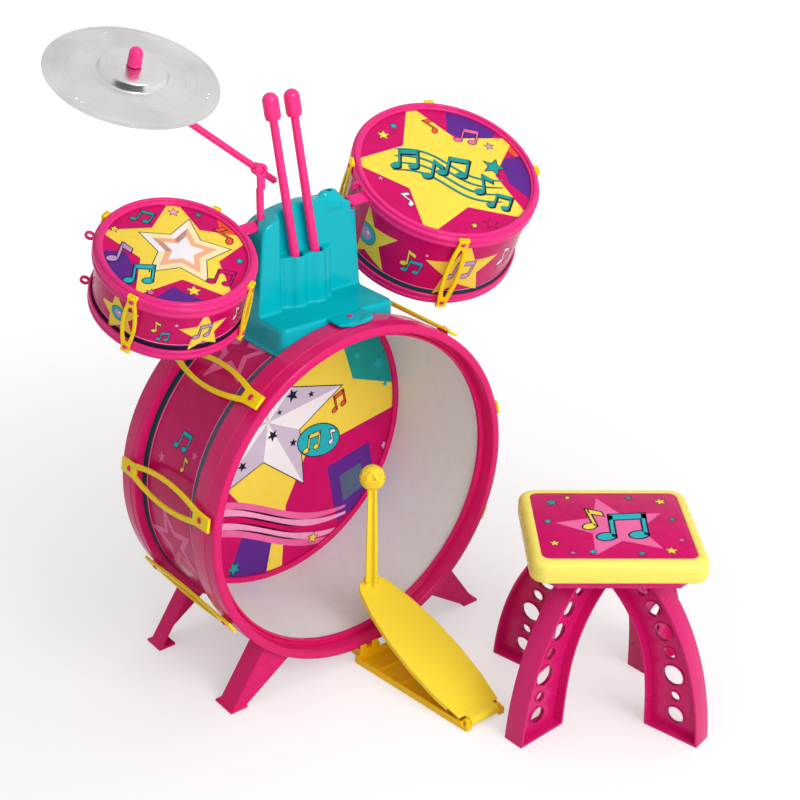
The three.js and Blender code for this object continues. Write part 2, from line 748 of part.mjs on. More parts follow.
function makeFootboard() {
  const { barrelRadius, barrelStart, barrelEnd, boardThickness, boardRim, boardRimWall } = pedal;
  const top = pedal.boardTop;
  const under = top - boardThickness;
  const lowest = under - boardRim - tiny;
  const heelClear = barrelRadius + pedal.heelPlay;
  const behind = -4 * barrelRadius; // well past the heel
  const boardHalf = pedal.boardHeelHalf + pedal.boardSwell;
  const leaf = cut(
    slabZ(leafOutline(0), under - boardRim, top, 5),
    slabZ(leafOutline(boardRimWall), lowest, under, 5),
    block(-boardHalf, -tiny, lowest, boardHalf, pedal.rimStart, under),
  );
  const rib = block(-1.2, pedal.rimStart, under - boardRim, 1.2, pedal.stickAlong, under + tiny);
  const barrels = [-1, 1].map((side) => {
    const [x0, x1] = side < 0 ? [-barrelEnd, -barrelStart] : [barrelStart, barrelEnd];
    return bar(barrelRadius, x0, x1, 12).rotateY(Math.PI / 2);
  });
  // The heel is open beside the barrels for the tray's ears, and between them for the spring.
  const earRoom = [-1, 1].map((side) => {
    const [x0, x1] = side < 0 ? [-boardHalf, -barrelEnd] : [barrelEnd, boardHalf];
    return block(x0, behind, lowest, x1, barrelRadius + pedal.earPlay, top + tiny);
  });
  const springRoom = block(-barrelStart, behind, lowest, barrelStart, 2 * heelClear, top + tiny);
  const pinHole = bar(pedal.pinRadius + 0.08, -boardHalf, boardHalf, 12).rotateY(Math.PI / 2);
  const socket = stickPart(stickCross(2.2, -pedal.socketDepth + 1, 2.5));
  const hole = stickPart(stickCross(seatingGap, -pedal.socketDepth, 2 * pedal.socketDepth));
  return cut(join(leaf, rib, ...barrels, socket), ...earRoom, springRoom, pinHole, hole);
}

// Brings a form made upright at the beater stick's foot into the footboard's tilted frame.
function stickPart(form) {
  return form.rotateX(-pedal.tilt * deg).translate(0, pedal.stickAlong, pedal.boardTop);
}

// The beater stick's cross section, grown by some play and carried from z0 to z1.
function stickCross(play, z0, z1) {
  const [half, rib] = [pedal.stickHalfLow + play, pedal.stickRib / 2 + play];
  return slabZ(polygon([
    [-half, -rib], [-rib, -rib], [-rib, -half], [rib, -half], [rib, -rib], [half, -rib],
    [half, rib], [rib, rib], [rib, half], [-rib, half], [-rib, rib], [-half, rib],
  ]), z0, z1);
}

// A cross-shaped bar whose four ribs taper from the footboard up to the ball.
function beaterStickForm() {
  const topZ = pedal.stickHeight - pedal.ballRadius + 2;
  const geometry = stickCross(0, -pedal.socketDepth + seatingGap, topZ);
  const position = geometry.getAttribute("position");
  for (let i = 0; i < position.count; i++) {
    const share = Math.max(0, position.getZ(i) / topZ);
    const scale = 1 - share * (1 - pedal.stickHalfHigh / pedal.stickHalfLow);
    position.setX(i, position.getX(i) * scale);
    position.setY(i, position.getY(i) * scale);
  }
  return geometry;
}

// The ball: a moulded sphere with a three-sided pocket and two slots on each of four faces.
function beaterBallForm() {
  const r = pedal.ballRadius;
  const sphere = new THREE.SphereGeometry(r, 12, 8).rotateX(Math.PI / 2);
  const pocket = polygon([
    [-0.3 * r, 0.1 * r],
    [0.3 * r, 0.1 * r],
    [0, 0.58 * r],
  ]);
  const tools = [];
  for (let i = 0; i < 4; i++) {
    const marks = [
      slabY(pocket, -r - 1, -0.72 * r),
      block(-0.36 * r, -r - 1, -0.33 * r, 0.36 * r, -0.72 * r, -0.19 * r),
      block(-0.3 * r, -r - 1, -0.62 * r, 0.3 * r, -0.6 * r, -0.48 * r),
    ];
    tools.push(...marks.map((mark) => mark.rotateZ((45 + i * 90) * deg)));
  }
  const socket = stickCross(0, -r - 1, -r + 2 + seatingGap);
  const share = pedal.stickHalfHigh / pedal.stickHalfLow + 0.09;
  return cut(sphere, ...tools, socket.scale(share, share, 1));
}

// A torsion spring about the hinge pin, with one leg on the tray and the other under the footboard.
function pedalSpringForm() {
  const { springRadius: r, springTurns, springPitch, springWire, springReach, springDip } = pedal;
  const sweep = (springTurns * 360 + 180 + springDip) * deg;
  const legShare = 0.12;
  class Coil extends THREE.Curve {
    getPoint(t) {
      const turn = THREE.MathUtils.clamp((t - legShare) / (1 - 2 * legShare), 0, 1);
      const angle = -turn * sweep;
      const point = new THREE.Vector3((turn - 0.5) * springTurns * springPitch, r * Math.sin(angle),
        -r * Math.cos(angle));
      const lowerLeg = Math.max(0, 1 - t / legShare) * springReach;
      const upperLeg = Math.max(0, 1 - (1 - t) / legShare) * springReach;
      point.y += lowerLeg + upperLeg * Math.cos(springDip * deg);
      point.z -= upperLeg * Math.sin(springDip * deg);
      return point;
    }
  }
  return new THREE.ExtrudeGeometry(new THREE.Shape().absarc(0, 0, springWire, 0, 2 * Math.PI), {
    steps: 8 * springTurns + 6,
    curveSegments: 2,
    extrudePath: new Coil(),
    bevelEnabled: false,
  });
}

function makePedal() {
  const group = new THREE.Group();
  group.add(makePedalBase());
  const pinHalf = pedal.barrelEnd + seatingGap + pedal.earThickness - 0.5;
  const pin = bar(pedal.pinRadius, -pinHalf, pinHalf, 12).rotateY(Math.PI / 2);
  group.add(mesh("pedal_pin", pin, steel));
  group.add(mesh("pedal_spring", pedalSpringForm(), steel));
  const board = mesh("footboard", makeFootboard(), yellow);
  const moving = new THREE.Group();
  moving.rotation.x = pedal.tilt * deg;
  moving.add(board);
  const upright = new THREE.Group();
  upright.position.set(0, pedal.stickAlong, pedal.boardTop);
  upright.rotation.x = -pedal.tilt * deg;
  upright.add(mesh("beater_stick", beaterStickForm(), yellow));
  const ball = mesh("beater_ball", beaterBallForm(), yellow);
  ball.position.z = pedal.stickHeight;
  upright.add(ball);
  moving.add(upright);
  group.add(moving);
  group.position.set(pedal.centreX, pedal.hingeY, pedal.hingeZ);
  return group;
}

// ---- stand: a hollow tower and tray that sit on top of the bass drum ----

// The tower seen from the front, taken in by an inset.
function towerFace(inset) {
  const foot = stand.towerBaseHalf - inset;
  const shoulder = stand.towerShoulderHalf - inset;
  const top = stand.towerTop - inset;
  const corner = shoulder - 17;
  const shape = new THREE.Shape();
  shape.moveTo(-foot, bass.axisHeight);
  shape.lineTo(foot, bass.axisHeight);
  shape.lineTo(foot, stand.trayTop);
  shape.lineTo(shoulder, stand.shoulderHeight);
  shape.quadraticCurveTo(shoulder - 1, top - 4, corner, top);
  shape.quadraticCurveTo(0, top + stand.crownRise, -corner, top);
  shape.quadraticCurveTo(1 - shoulder, top - 4, -shoulder, stand.shoulderHeight);
  shape.lineTo(-foot, stand.trayTop);
  return shape;
}

// The tower seen from above: a slab with the rod's column standing forward at its left.
function towerPlan(inset) {
  const half = stand.towerBaseHalf + 4 - inset;
  const front = stand.towerFront + inset;
  const back = stand.towerBack - inset;
  const columnFront = stand.columnFront + inset;
  const columnRight = -stand.towerBaseHalf + stand.columnWidth - inset;
  const round = 7;
  const shape = new THREE.Shape();
  shape.moveTo(-half + 2 * round, back);
  shape.quadraticCurveTo(-half, back, -half, back - 2 * round);
  shape.lineTo(-half, columnFront);
  shape.lineTo(columnRight - round, columnFront);
  shape.quadraticCurveTo(columnRight, columnFront, columnRight, columnFront + round);
  shape.lineTo(columnRight, front - 2);
  shape.lineTo(columnRight + 2, front);
  shape.lineTo(half, front);
  shape.lineTo(half, back);
  return shape;
}

function towerForm(inset) {
  const face = slabY(towerFace(inset), stand.columnFront - 5, stand.towerBack + 5, 3);
  const plan = slabZ(towerPlan(inset), bass.axisHeight - 5, stand.towerTop + 20, 2);
  return common(face, plan);
}

// The pair of stick tubes seen from above: two bulges with a valley between, taken in by an inset.
function tubePlan(inset) {
  const [left, right] = stand.tubeX.map((x) => x - stand.shiftX);
  const bulge = stand.tubeBore + stand.tubeWall - inset;
  const y = stand.tubeY;
  const middle = (left + right) / 2;
  const half = stand.blockHalf - inset;
  const shape = new THREE.Shape();
  shape.moveTo(middle - half, stand.towerFront + 3);
  shape.quadraticCurveTo(middle - half, stand.blockFront + inset, left - bulge, stand.blockFront + inset);
  shape.absarc(left, y, bulge, 200 * deg, 310 * deg);
  shape.lineTo(middle, stand.blockFront + inset);
  shape.absarc(right, y, bulge, 230 * deg, 340 * deg);
  shape.quadraticCurveTo(middle + half, stand.blockFront + inset, middle + half, stand.towerFront + 3);
  return shape;
}

function trayForm(inset) {
  const halfY = (stand.backY - stand.frontY) / 2 - inset;
  const plan = roundedRectangle(stand.baseHalf - inset, halfY, 8 - inset);
  const bevel = inset ? 0 : 2.5;
  const geometry = new THREE.ExtrudeGeometry(plan, {
    depth: stand.trayTop - inset - bass.axisHeight - bevel,
    bevelEnabled: bevel > 0,
    bevelThickness: bevel,
    bevelSize: bevel,
    bevelOffset: -bevel,
    bevelSegments: 1,
    curveSegments: 3,
  });
  return geometry.translate(0, (stand.backY + stand.frontY) / 2, bass.axisHeight);
}

// A rounded tab that runs out from the tray over a hoop, with a hole for the hoop's pin.
function hookTab(fromY, toY, pinY) {
  const { hookTabHalf: half, hookTabShift } = stand;
  const x = hookTabShift - stand.shiftX;
  const side = Math.sign(toY - fromY);
  const tip = toY - side * 9;
  const shape = new THREE.Shape();
  shape.moveTo(x - half, fromY);
  shape.lineTo(x - half, toY);
  shape.lineTo(x + half - 9, toY);
  shape.quadraticCurveTo(x + half, toY, x + half, tip);
  shape.lineTo(x + half, fromY);
  shape.holes.push(new THREE.Path().absarc(x, pinY, bassStrap.pinRadius + seatingGap, 0, 2 * Math.PI));
  const under = bass.axisHeight + bass.hoopRadius + bass.beadHeight + seatingGap;
  return slabZ(shape, under, under + stand.wall, 5);
}

function makeStand() {
  const { wall, shiftX } = stand;
  const tubes = (inset) => slabZ(tubePlan(inset), bass.axisHeight, stand.tubeTop - inset, 2);
  const outer = join(trayForm(0), towerForm(0), tubes(0));
  const hollow = join(trayForm(wall), towerForm(wall), tubes(wall));

  const sleeveTop = stand.towerTop + stand.crownRise / 2;
  const rodSleeve = bar(rod.radius + rod.fit + wall, sleeveTop - stand.sleeveDepth, sleeveTop, 8)
    .translate(rod.x - shiftX, rod.y, 0);
  const stickSleeves = stand.tubeX.map((x) =>
    bar(stand.tubeBore + wall, stand.tubeTop - stand.tubeDepth - wall, stand.tubeTop + tiny, 10)
      .translate(x - shiftX, stand.tubeY, 0));
  const room = cut(hollow, rodSleeve, ...stickSleeves);

  const spareBoss = bar(rod.radius + 4, stand.towerTop - 8, stand.towerTop + 11, 12, rod.radius + 2.6)
    .translate(stand.spareHoleX - shiftX, stand.spareHoleY, 0);
  const boreBottom = sleeveTop - stand.sleeveDepth + wall;
  const rodBore = bar(rod.radius + rod.fit, boreBottom, sleeveTop + 20, 12)
    .translate(rod.x - shiftX, rod.y, 0);
  const spareBore = bar(rod.radius + rod.fit, boreBottom, sleeveTop + 20, 12)
    .translate(stand.spareHoleX - shiftX, stand.spareHoleY, 0);
  const stickBores = stand.tubeX.map((x) =>
    bar(stand.tubeBore, stand.tubeTop - stand.tubeDepth, stand.tubeTop + 10, 12)
      .translate(x - shiftX, stand.tubeY, 0));
  const tabSlots = [tomLeft, tomRight].map((tom) => {
    const frame = placeTom(new THREE.Object3D(), tom).matrix;
    return standTab(tom, 2 * seatingGap).applyMatrix4(frame).translate(-shiftX, 0, 0);
  });

  // The flange lies on the drum's shell between the hoops.
  const flangeInner = bass.shellRadius + seatingGap;
  const flangeOuter = flangeInner + stand.flangeThickness;
  const [from, to] = [90 - stand.flangeAngle, 90 + stand.flangeAngle].map((angle) => angle * deg);
  const flange = new THREE.Shape().absarc(0, bass.axisHeight, flangeOuter, from, to);
  flange.absarc(0, bass.axisHeight, flangeInner, to, from, true);
  const plate = slabY(flange, stand.frontY, stand.backY, 5).translate(-shiftX, 0, 0);
  const shellBelow = bar(flangeInner, -tiny, bass.depth + tiny, bass.segments)
    .rotateX(-Math.PI / 2)
    .translate(-shiftX, 0, bass.axisHeight);
  const sides = cut(outer, room);
  const saddled = join(sides, cut(plate, trayForm(wall)));
  const body = cut(saddled, shellBelow, rodBore, spareBore, ...stickBores, ...tabSlots);
  const boss = cut(spareBoss, spareBore);
  const tabs = [
    hookTab(stand.frontY + wall, stand.hookTabTipY, stand.hookTabPinY),
    hookTab(stand.backY - wall, bass.depth - 5, bass.depth - bass.farSkirt / 2),
  ];
  const made = mesh("stand", join(body, boss, ...tabs), teal);
  made.position.x = shiftX;
  return made;
}

// ---- cymbal and what carries it ----
function makeCymbalRod() {
  const group = new THREE.Group();
  const { radius, eyeRadius, eyeHole, neckLength, knuckleHeight } = rod;
  const bottom = stand.towerTop + stand.crownRise / 2 - stand.sleeveDepth + stand.wall + seatingGap;
  const flatBack = seatingGap / 2;
  const flatFront = -radius - 0.6;
  const post = bar(radius, bottom, knuckleHeight - neckLength, 14);
  const neck = block(-radius, flatFront, knuckleHeight - neckLength - tiny, radius, -flatBack, knuckleHeight);
  const eye = bar(eyeRadius, flatBack, -flatFront, 16).rotateX(Math.PI / 2).translate(0, 0, knuckleHeight);
  const hole = bar(eyeHole, -tiny, radius + 2, 12).rotateX(Math.PI / 2).translate(0, 0, knuckleHeight);
  group.add(mesh("cymbal_rod", cut(join(post, neck, eye), hole), stickPink));
  group.position.set(rod.x, rod.y, 0);
  return group;
}

// A round bar between two points.
function barBetween(from, to, radius, segments = 16) {
  const direction = to.clone().sub(from);
  const turn = new THREE.Quaternion().setFromUnitVectors(
    new THREE.Vector3(0, 0, 1), direction.clone().normalize());
  return bar(radius, 0, direction.length(), segments).applyQuaternion(turn).translate(from.x, from.y, from.z);
}

const cymbalAxis = new THREE.Vector3(...cymbal.axis).normalize();
const armY = rod.y + seatingGap / 2 + arm.radius;
const cymbalCentre = new THREE.Vector3(...cymbal.centre);
const armBend = cymbalCentre.clone().addScaledVector(cymbalAxis, -arm.drop);
const bellHeight = cymbal.coneRise + cymbal.bellRise + 1; // top of the bell over the rim
const bellUnder = arm.drop + bellHeight - cymbal.thickness; // its underside from the bend

function makeCymbalArm() {
  const { radius, ribWidth, studRadius, flangeRadius, capLength } = arm;
  const knuckle = new THREE.Vector3(rod.x, armY, rod.knuckleHeight);
  const along = armBend.clone().sub(knuckle).normalize();
  const tail = knuckle.clone().addScaledVector(along, -arm.tailLength);
  const half = ribWidth / 2;
  const ribbed = polygon([
    [-radius, -half], [-half, -half], [-half, -radius], [half, -radius], [half, -half], [radius, -half],
    [radius, half], [half, half], [half, radius], [-half, radius], [-half, half], [-radius, half],
  ]);
  const beam = new THREE.ExtrudeGeometry(ribbed, { depth: armBend.distanceTo(tail), bevelEnabled: false })
    .rotateZ(Math.PI / 2)
    .applyQuaternion(new THREE.Quaternion().setFromUnitVectors(new THREE.Vector3(0, 0, 1), along))
    .translate(...tail.toArray());
  const studTop = armBend.clone().addScaledVector(cymbalAxis, bellUnder + cymbal.thickness + capLength - 5);
  const studFoot = armBend.clone().addScaledVector(cymbalAxis, -radius);
  const stud = barBetween(armBend, studTop, studRadius, 10);
  const flangeTop = armBend.clone().addScaledVector(cymbalAxis, bellUnder - seatingGap);
  const collar = barBetween(studFoot, flangeTop, studRadius + 2, 8);
  const flangeFoot = flangeTop.clone().addScaledVector(cymbalAxis, -2.4);
  const flange = barBetween(flangeFoot, flangeTop, flangeRadius, 10);
  const boss = bar(rod.eyeRadius - 1, -radius * 2, 0, 12)
    .rotateX(Math.PI / 2)
    .translate(rod.x, rod.y + seatingGap / 2, rod.knuckleHeight);
  const pin = bar(rod.eyeHole - seatingGap, -tiny, rod.radius - 0.9, 10)
    .rotateX(Math.PI / 2)
    .translate(rod.x, rod.y + seatingGap / 2, rod.knuckleHeight);
  return mesh("cymbal_arm", join(beam, stud, collar, flange, boss, pin), stickPink);
}

// The spun disc: cone, raised bell and rolled lip, with three pairs of stamped slots near the rim.
function cymbalForm() {
  const { radius, thickness: t, lipWidth, coneRise, holeRadius } = cymbal;
  const { bellRadius, bellTopRadius, bellRise } = cymbal;
  const upper = [
    [radius, 0],
    [radius - lipWidth, 0.2],
    [radius - lipWidth - 1.4, 1.1],
    [bellRadius + 1.5, coneRise],
    [bellTopRadius + 1.6, coneRise + bellRise - 1.6],
    [bellTopRadius - 1.2, coneRise + bellRise],
    [holeRadius, bellHeight],
  ];
  const lower = upper.filter((_, i) => i !== 1 && i !== 4).map(([r, z]) => [r, z - t]).reverse();
  const disc = turned([...upper, ...lower], cymbal.segments);
  const slots = [];
  for (let i = 0; i < 3; i++) {
    for (const side of [-1, 1]) {
      slots.push(
        block(-1, -1.6, -4, 1, 1.6, 4)
          .rotateZ(side * 35 * deg)
          .translate(radius - 11, side * 3, 0)
          .rotateZ((20 + i * 120) * deg));
    }
  }
  return cut(disc, ...slots);
}

function alongCymbalAxis(object) {
  object.position.copy(cymbalCentre);
  object.quaternion.setFromUnitVectors(new THREE.Vector3(0, 0, 1), cymbalAxis);
  return object;
}

function makeCymbal() {
  const group = new THREE.Group();
  group.add(alongCymbalAxis(mesh("cymbal", cymbalForm(), steel)));
  const { capRadius, capLength, studRadius } = arm;
  const foot = bellHeight + 2 * seatingGap;
  const bore = foot + capLength - 4;
  const profile = [[studRadius + seatingGap / 2, foot], [capRadius, foot]];
  const domeStart = foot + capLength - capRadius;
  for (let i = 0; i < 3; i++) {
    const angle = (i / 3) * 90 * deg;
    profile.push([capRadius * Math.cos(angle), domeStart + capRadius * Math.sin(angle)]);
  }
  profile.push([0, domeStart + capRadius], [0, bore], [studRadius + seatingGap / 2, bore]);
  const cap = new THREE.LatheGeometry(
    [...profile, profile[0]].map(([r, z]) => new THREE.Vector2(r, z)), 12).rotateX(Math.PI / 2);
  group.add(alongCymbalAxis(mesh("cymbal_cap", cap, stickPink)));
  return group;
}

// ---- drumsticks, leaning in their tubes ----
function drumstickForm() {
  const { length, buttRadius, neckRadius, headRadius, headLength } = drumstick;
  const headStart = length - headLength;
  const profile = [
    [0, 0],
    [buttRadius - 1, 0],
    [buttRadius, 1.2],
    [neckRadius, headStart],
    [headRadius - 2.2, headStart + 1],
    [headRadius, headStart + 4.5],
    [headRadius, length - headRadius],
  ];
  for (let i = 1; i < 3; i++) {
    const angle = (i / 3) * 90 * deg;
    profile.push([headRadius * Math.cos(angle), length - headRadius + headRadius * Math.sin(angle)]);
  }
  profile.push([0, length]);
  return turned(profile, 12);
}

function makeDrumsticks() {
  const group = new THREE.Group();
  const lean = drumstick.lean * deg;
  const floor = stand.tubeTop - stand.tubeDepth;
  const lift = (drumstick.buttRadius - 1) * Math.sin(lean) + seatingGap;
  ["left", "right"].forEach((side, i) => {
    const stick = mesh(`drumstick_${side}`, drumstickForm(), stickPink);
    stick.rotation.y = -lean;
    stick.position.set(stand.tubeX[i] + (stand.tubeDepth / 2) * Math.tan(lean), stand.tubeY, floor + lift);
    group.add(stick);
  });
  return group;
}

// ---- stool, made about the middle of its footprint ----
const plateTop = stool.height - stool.labelRecess - stool.wall - stool.ribHeight - seatingGap;
const plateFoot = stool.height - stool.sideHeight - stool.plateDrop;

function seatForm() {
  const { width, depth, cornerRadius, edge, sideHeight, wall, height } = stool;
  const bottom = height - sideHeight;
  const body = new THREE.ExtrudeGeometry(roundedRectangle(width / 2, depth / 2, cornerRadius), {
    depth: sideHeight - 2 * edge,
    bevelEnabled: true,
    bevelThickness: edge,
    bevelSize: edge * 0.55,
    bevelOffset: -edge * 0.55,
    bevelSegments: 2,
    curveSegments: 3,
  }).translate(0, 0, bottom + edge);
  const inside = edge * 0.55 + wall;
  const ceiling = height - stool.labelRecess - wall;
  const hollow = slabZ(roundedRectangle(width / 2 - inside, depth / 2 - inside, cornerRadius - inside),
    bottom - tiny, ceiling, 3);
  const ribs = [];
  for (const share of [-0.31, 0.31]) {
    const [x, y] = [share * width, share * depth];
    ribs.push(block(x - 1, -depth / 2 + wall, ceiling - stool.ribHeight, x + 1, depth / 2 - wall, ceiling));
    ribs.push(block(-width / 2 + wall, y - 1, ceiling - stool.ribHeight, width / 2 - wall, y + 1, ceiling));
  }
  const recess = slabZ(roundedRectangle(stool.labelWidth / 2, stool.labelDepth / 2, stool.labelRadius),
    height - stool.labelRecess, height + 1, 3);
  return cut(body, cut(hollow, ...ribs), recess);
}

// The arching leg in its own plane: s runs out from the stool's middle and z runs up.
function legOutline(inset) {
  const outer = new THREE.CubicBezierCurve(
    new THREE.Vector2(stool.legFootOuter - inset, inset),
    new THREE.Vector2(stool.legFootOuter - stool.kneeInset - inset, stool.kneeHeight),
    new THREE.Vector2(stool.shoulderS + stool.hipReach - inset, stool.height - stool.hipDrop - inset),
    new THREE.Vector2(stool.shoulderS - inset, stool.height - stool.shoulderDrop - inset));
  const archTop = stool.height - stool.archDrop;
  const inner = new THREE.CubicBezierCurve(
    new THREE.Vector2(inset / 2, archTop + inset),
    new THREE.Vector2(stool.legFootInner + inset, archTop * 0.72),
    new THREE.Vector2(stool.legFootInner - stool.kneeInset + inset, archTop * 0.31),
    new THREE.Vector2(stool.legFootInner + inset, inset));
  return { outer, inner };
}

function legShape(inset) {
  const { outer, inner } = legOutline(inset);
  const top = plateTop - stool.plateThickness / 2 - inset;
  const points = [...outer.getPoints(6), new THREE.Vector2(stool.shoulderS - 14 - inset, top),
    new THREE.Vector2(inset / 2, top), ...inner.getPoints(5)];
  return new THREE.Shape(points);
}

// Round lightening holes of mixed sizes, one after another down the web.
function legHoles() {
  const { outer, inner } = legOutline(0);
  const steps = 60;
  const middle = [];
  for (let i = 0; i <= steps; i++) {
    middle.push(outer.getPoint(i / steps).add(inner.getPoint(1 - i / steps)).multiplyScalar(0.5));
  }
  const line = new THREE.SplineCurve(middle);
  const length = line.getLength();
  const solidShare = stool.holeRadii.reduce((sum, r) => sum + 2 * r, 0);
  const space = (length - solidShare - 6) / (stool.holeRadii.length + 1);
  let along = 3;
  return stool.holeRadii.map((radius) => {
    along += space + radius;
    const centre = line.getPointAt(along / length);
    along += radius;
    return bar(radius, -stool.legWidth, stool.legWidth, radius > 7 ? 8 : 6)
      .rotateX(Math.PI / 2)
      .translate(centre.x, 0, centre.y);
  });
}

// One leg: a flanged arch under a quarter of the seat, with its chamfered plate.
function legForm(signX, signY) {
  const { width, depth, wall, edge, legWidth, legWall, webWall, plateChamfer, plateThickness } = stool;
  const half = legWidth / 2;
  const flange = cut(
    slabY(legShape(0), -half, half),
    slabY(legShape(legWall), -half - 1, -webWall / 2),
    slabY(legShape(legWall), webWall / 2, half + 1),
  );
  const direction = Math.atan2(signY * depth, signX * width);
  const arch = cut(flange, ...legHoles()).rotateZ(direction);

  const inside = edge * 0.55 + wall + seatingGap;
  const halfX = width / 2 - inside;
  const halfY = depth / 2 - inside;
  const plateOutline = (inset) => {
    const [x, y] = [halfX - inset, halfY - inset];
    const chamfer = plateChamfer - inset * 0.6;
    const corners = [[-tiny, -tiny], [x, -tiny], [x, y - chamfer], [x - chamfer, y], [-tiny, y]];
    const turnedCorners = corners.map(([a, b]) => [a * signX, b * signY]);
    return polygon(signX * signY > 0 ? turnedCorners : turnedCorners.reverse());
  };
  const plate = cut(
    slabZ(plateOutline(0), plateFoot, plateTop),
    slabZ(plateOutline(legWall), plateFoot - tiny, plateTop - plateThickness),
  );
  const clear = seatingGap / 2;
  const [x0, x1] = signX > 0 ? [clear, width] : [-width, -clear];
  const [y0, y1] = signY > 0 ? [clear, depth] : [-depth, -clear];
  return common(join(arch, plate), block(x0, y0, 0, x1, y1, plateTop));
}

function makeStool() {
  const group = new THREE.Group();
  group.add(mesh("stool_seat", seatForm(), paleYellow));
  const label = slabZ(
    roundedRectangle(stool.labelWidth / 2 - seatingGap, stool.labelDepth / 2 - seatingGap, stool.labelRadius),
    stool.height - stool.labelRecess + seatingGap, stool.height - 0.2, 3);
  group.add(mesh("stool_label", label, magentaPrint));
  const corners = { front_left: [-1, -1], front_right: [1, -1], back_right: [1, 1], back_left: [-1, 1] };
  for (const [corner, [signX, signY]] of Object.entries(corners)) {
    group.add(mesh(`stool_leg_${corner}`, legForm(signX, signY), legPink));
  }
  group.position.set(stool.x, stool.y, 0);
  group.rotation.z = stool.yaw * deg;
  return group;
}

// ---- the kit, moved so that its origin is the middle of its box on the floor ----
const kit = new THREE.Group();
kit.add(makeBassDrum(), makeFeet(), makePedal(), makeStand());
kit.add(makeTom(tomLeft), makeTom(tomRight));
kit.add(makeCymbalRod(), makeCymbalArm(), makeCymbal(), makeDrumsticks());
kit.add(makeStool());
kit.updateMatrixWorld(true);
const bounds = new THREE.Box3().setFromObject(kit, true);
const middle = bounds.getCenter(new THREE.Vector3());
kit.position.set(-middle.x, -middle.y, -bounds.min.z);

const drumKit = new THREE.Group();
drumKit.add(kit);

export default drumKit;
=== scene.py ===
from math import atan2, cos, dist, floor, hypot, pi, radians, sin, tan
import bmesh
import bpy
from mathutils import Matrix, Vector
from mathutils.geometry import tessellate_polygon


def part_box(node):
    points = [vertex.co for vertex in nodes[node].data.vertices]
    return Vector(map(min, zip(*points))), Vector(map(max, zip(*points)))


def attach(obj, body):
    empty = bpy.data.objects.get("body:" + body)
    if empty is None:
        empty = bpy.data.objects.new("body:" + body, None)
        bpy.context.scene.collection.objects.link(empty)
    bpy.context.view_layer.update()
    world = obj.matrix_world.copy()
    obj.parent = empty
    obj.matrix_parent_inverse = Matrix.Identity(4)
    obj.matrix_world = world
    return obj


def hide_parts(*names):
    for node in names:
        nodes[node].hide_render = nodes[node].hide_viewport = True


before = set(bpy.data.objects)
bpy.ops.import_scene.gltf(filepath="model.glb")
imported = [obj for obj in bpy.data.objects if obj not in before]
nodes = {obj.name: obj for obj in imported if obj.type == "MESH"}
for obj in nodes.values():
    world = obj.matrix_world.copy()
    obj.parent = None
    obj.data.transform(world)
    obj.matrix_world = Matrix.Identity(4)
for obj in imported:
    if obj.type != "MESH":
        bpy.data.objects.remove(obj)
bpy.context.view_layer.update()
mm = 0.001
tiny = 1e-9
print("drum kit: frame loaded,", len(nodes), "solids")


def shift(x, y, z):
    return Matrix.Translation((x, y, z))


def spin(degrees, axis):
    return Matrix.Rotation(radians(degrees), 4, axis)


unmoved = Matrix.Identity(4)
inMm = Matrix.Scale(mm, 4)  # pieces are drawn in millimetres in places that end with this
upright = spin(90, "X")  # a flat form stood up, its thickness towards the front
flip = spin(180, "X")


def put(target, **values):  # sets several values of a thing
    for key, value in values.items():
        setattr(target, key, value)
    return target


def addObject(name, data):
    made = bpy.data.objects.new(name, data)
    bpy.context.scene.collection.objects.link(made)
    return made


def working(*meshes):  # a working mesh, empty or with copies of meshes in it
    bm = bmesh.new()
    for mesh in meshes:
        bm.from_mesh(mesh)
    return bm


def meshFrom(bm, name, mesh=None):  # ends a working mesh with its faces turned outwards
    mesh = mesh or bpy.data.meshes.new(name)
    bmesh.ops.recalc_face_normals(bm, faces=bm.faces)
    bm.to_mesh(mesh)
    bm.free()
    return mesh


def faceOutward(mesh):
    return meshFrom(working(mesh), mesh.name, mesh)


def newPiece(name, made, body, slot, materials, replaced, smoothAngle):  # made is a mesh or a working mesh
    mesh = meshFrom(made, name) if isinstance(made, bmesh.types.BMesh) else made
    piece = addObject(name, mesh)
    for material in materials:
        mesh.materials.append(material)
    mesh.shade_smooth()
    mesh.set_sharp_from_angle(angle=radians(smoothAngle))
    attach(piece, body)
    if replaced:
        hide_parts(*replaced)


# when arcs and insets give way
cornerLimits = {"straight": radians(175), "sideShare": 0.48, "sharpest": 0.35}


def shares(count):  # 0 to 1 in equal steps
    return [k / count for k in range(count + 1)]


def rounded(points, radii, steps=4):  # a closed outline whose corners are turned into arcs
    result = []
    for i, r in enumerate(radii):
        here = Vector(points[i])
        before, after = Vector(points[i - 1]) - here, Vector(points[(i + 1) % len(points)]) - here
        shorter = min(before.length, after.length)
        if shorter < tiny or before.angle(after) > cornerLimits["straight"]:
            result.append(tuple(here))
            continue
        cutBack = min(r / tan(before.angle(after) / 2), shorter * cornerLimits["sideShare"])
        start, end = here + before.normalized() * cutBack, here + after.normalized() * cutBack
        for t in shares(steps):
            result.append(tuple(start.lerp(here, t).lerp(here.lerp(end, t), t)))
    return result


def softened(points, steps=4):  # the same for corners written with their own radius
    return rounded([p[:2] for p in points], [p[2] for p in points], steps)


def grown(points, by):  # a counter-clockwise outline moved outwards
    result = []
    for i, here in enumerate(map(Vector, points)):
        sides = here - Vector(points[i - 1]), Vector(points[(i + 1) % len(points)]) - here
        first, second = (Vector((side.y, -side.x)).normalized() for side in sides)
        middle = first + second
        if min(side.length for side in sides) > tiny and middle.length > 1e-6:
            middle.normalize()
            here = here + middle * (by / max(cornerLimits["sharpest"], middle.dot(first)))
        result.append(tuple(here))
    return result


def bridge(bm, rings):  # quads from each closed ring of corners to the next
    return [bm.faces.new((one[i], one[j], two[j], two[i])) for one, two in zip(rings, rings[1:])
            for i, j in zip(range(len(one)), [*range(1, len(one)), 0])]


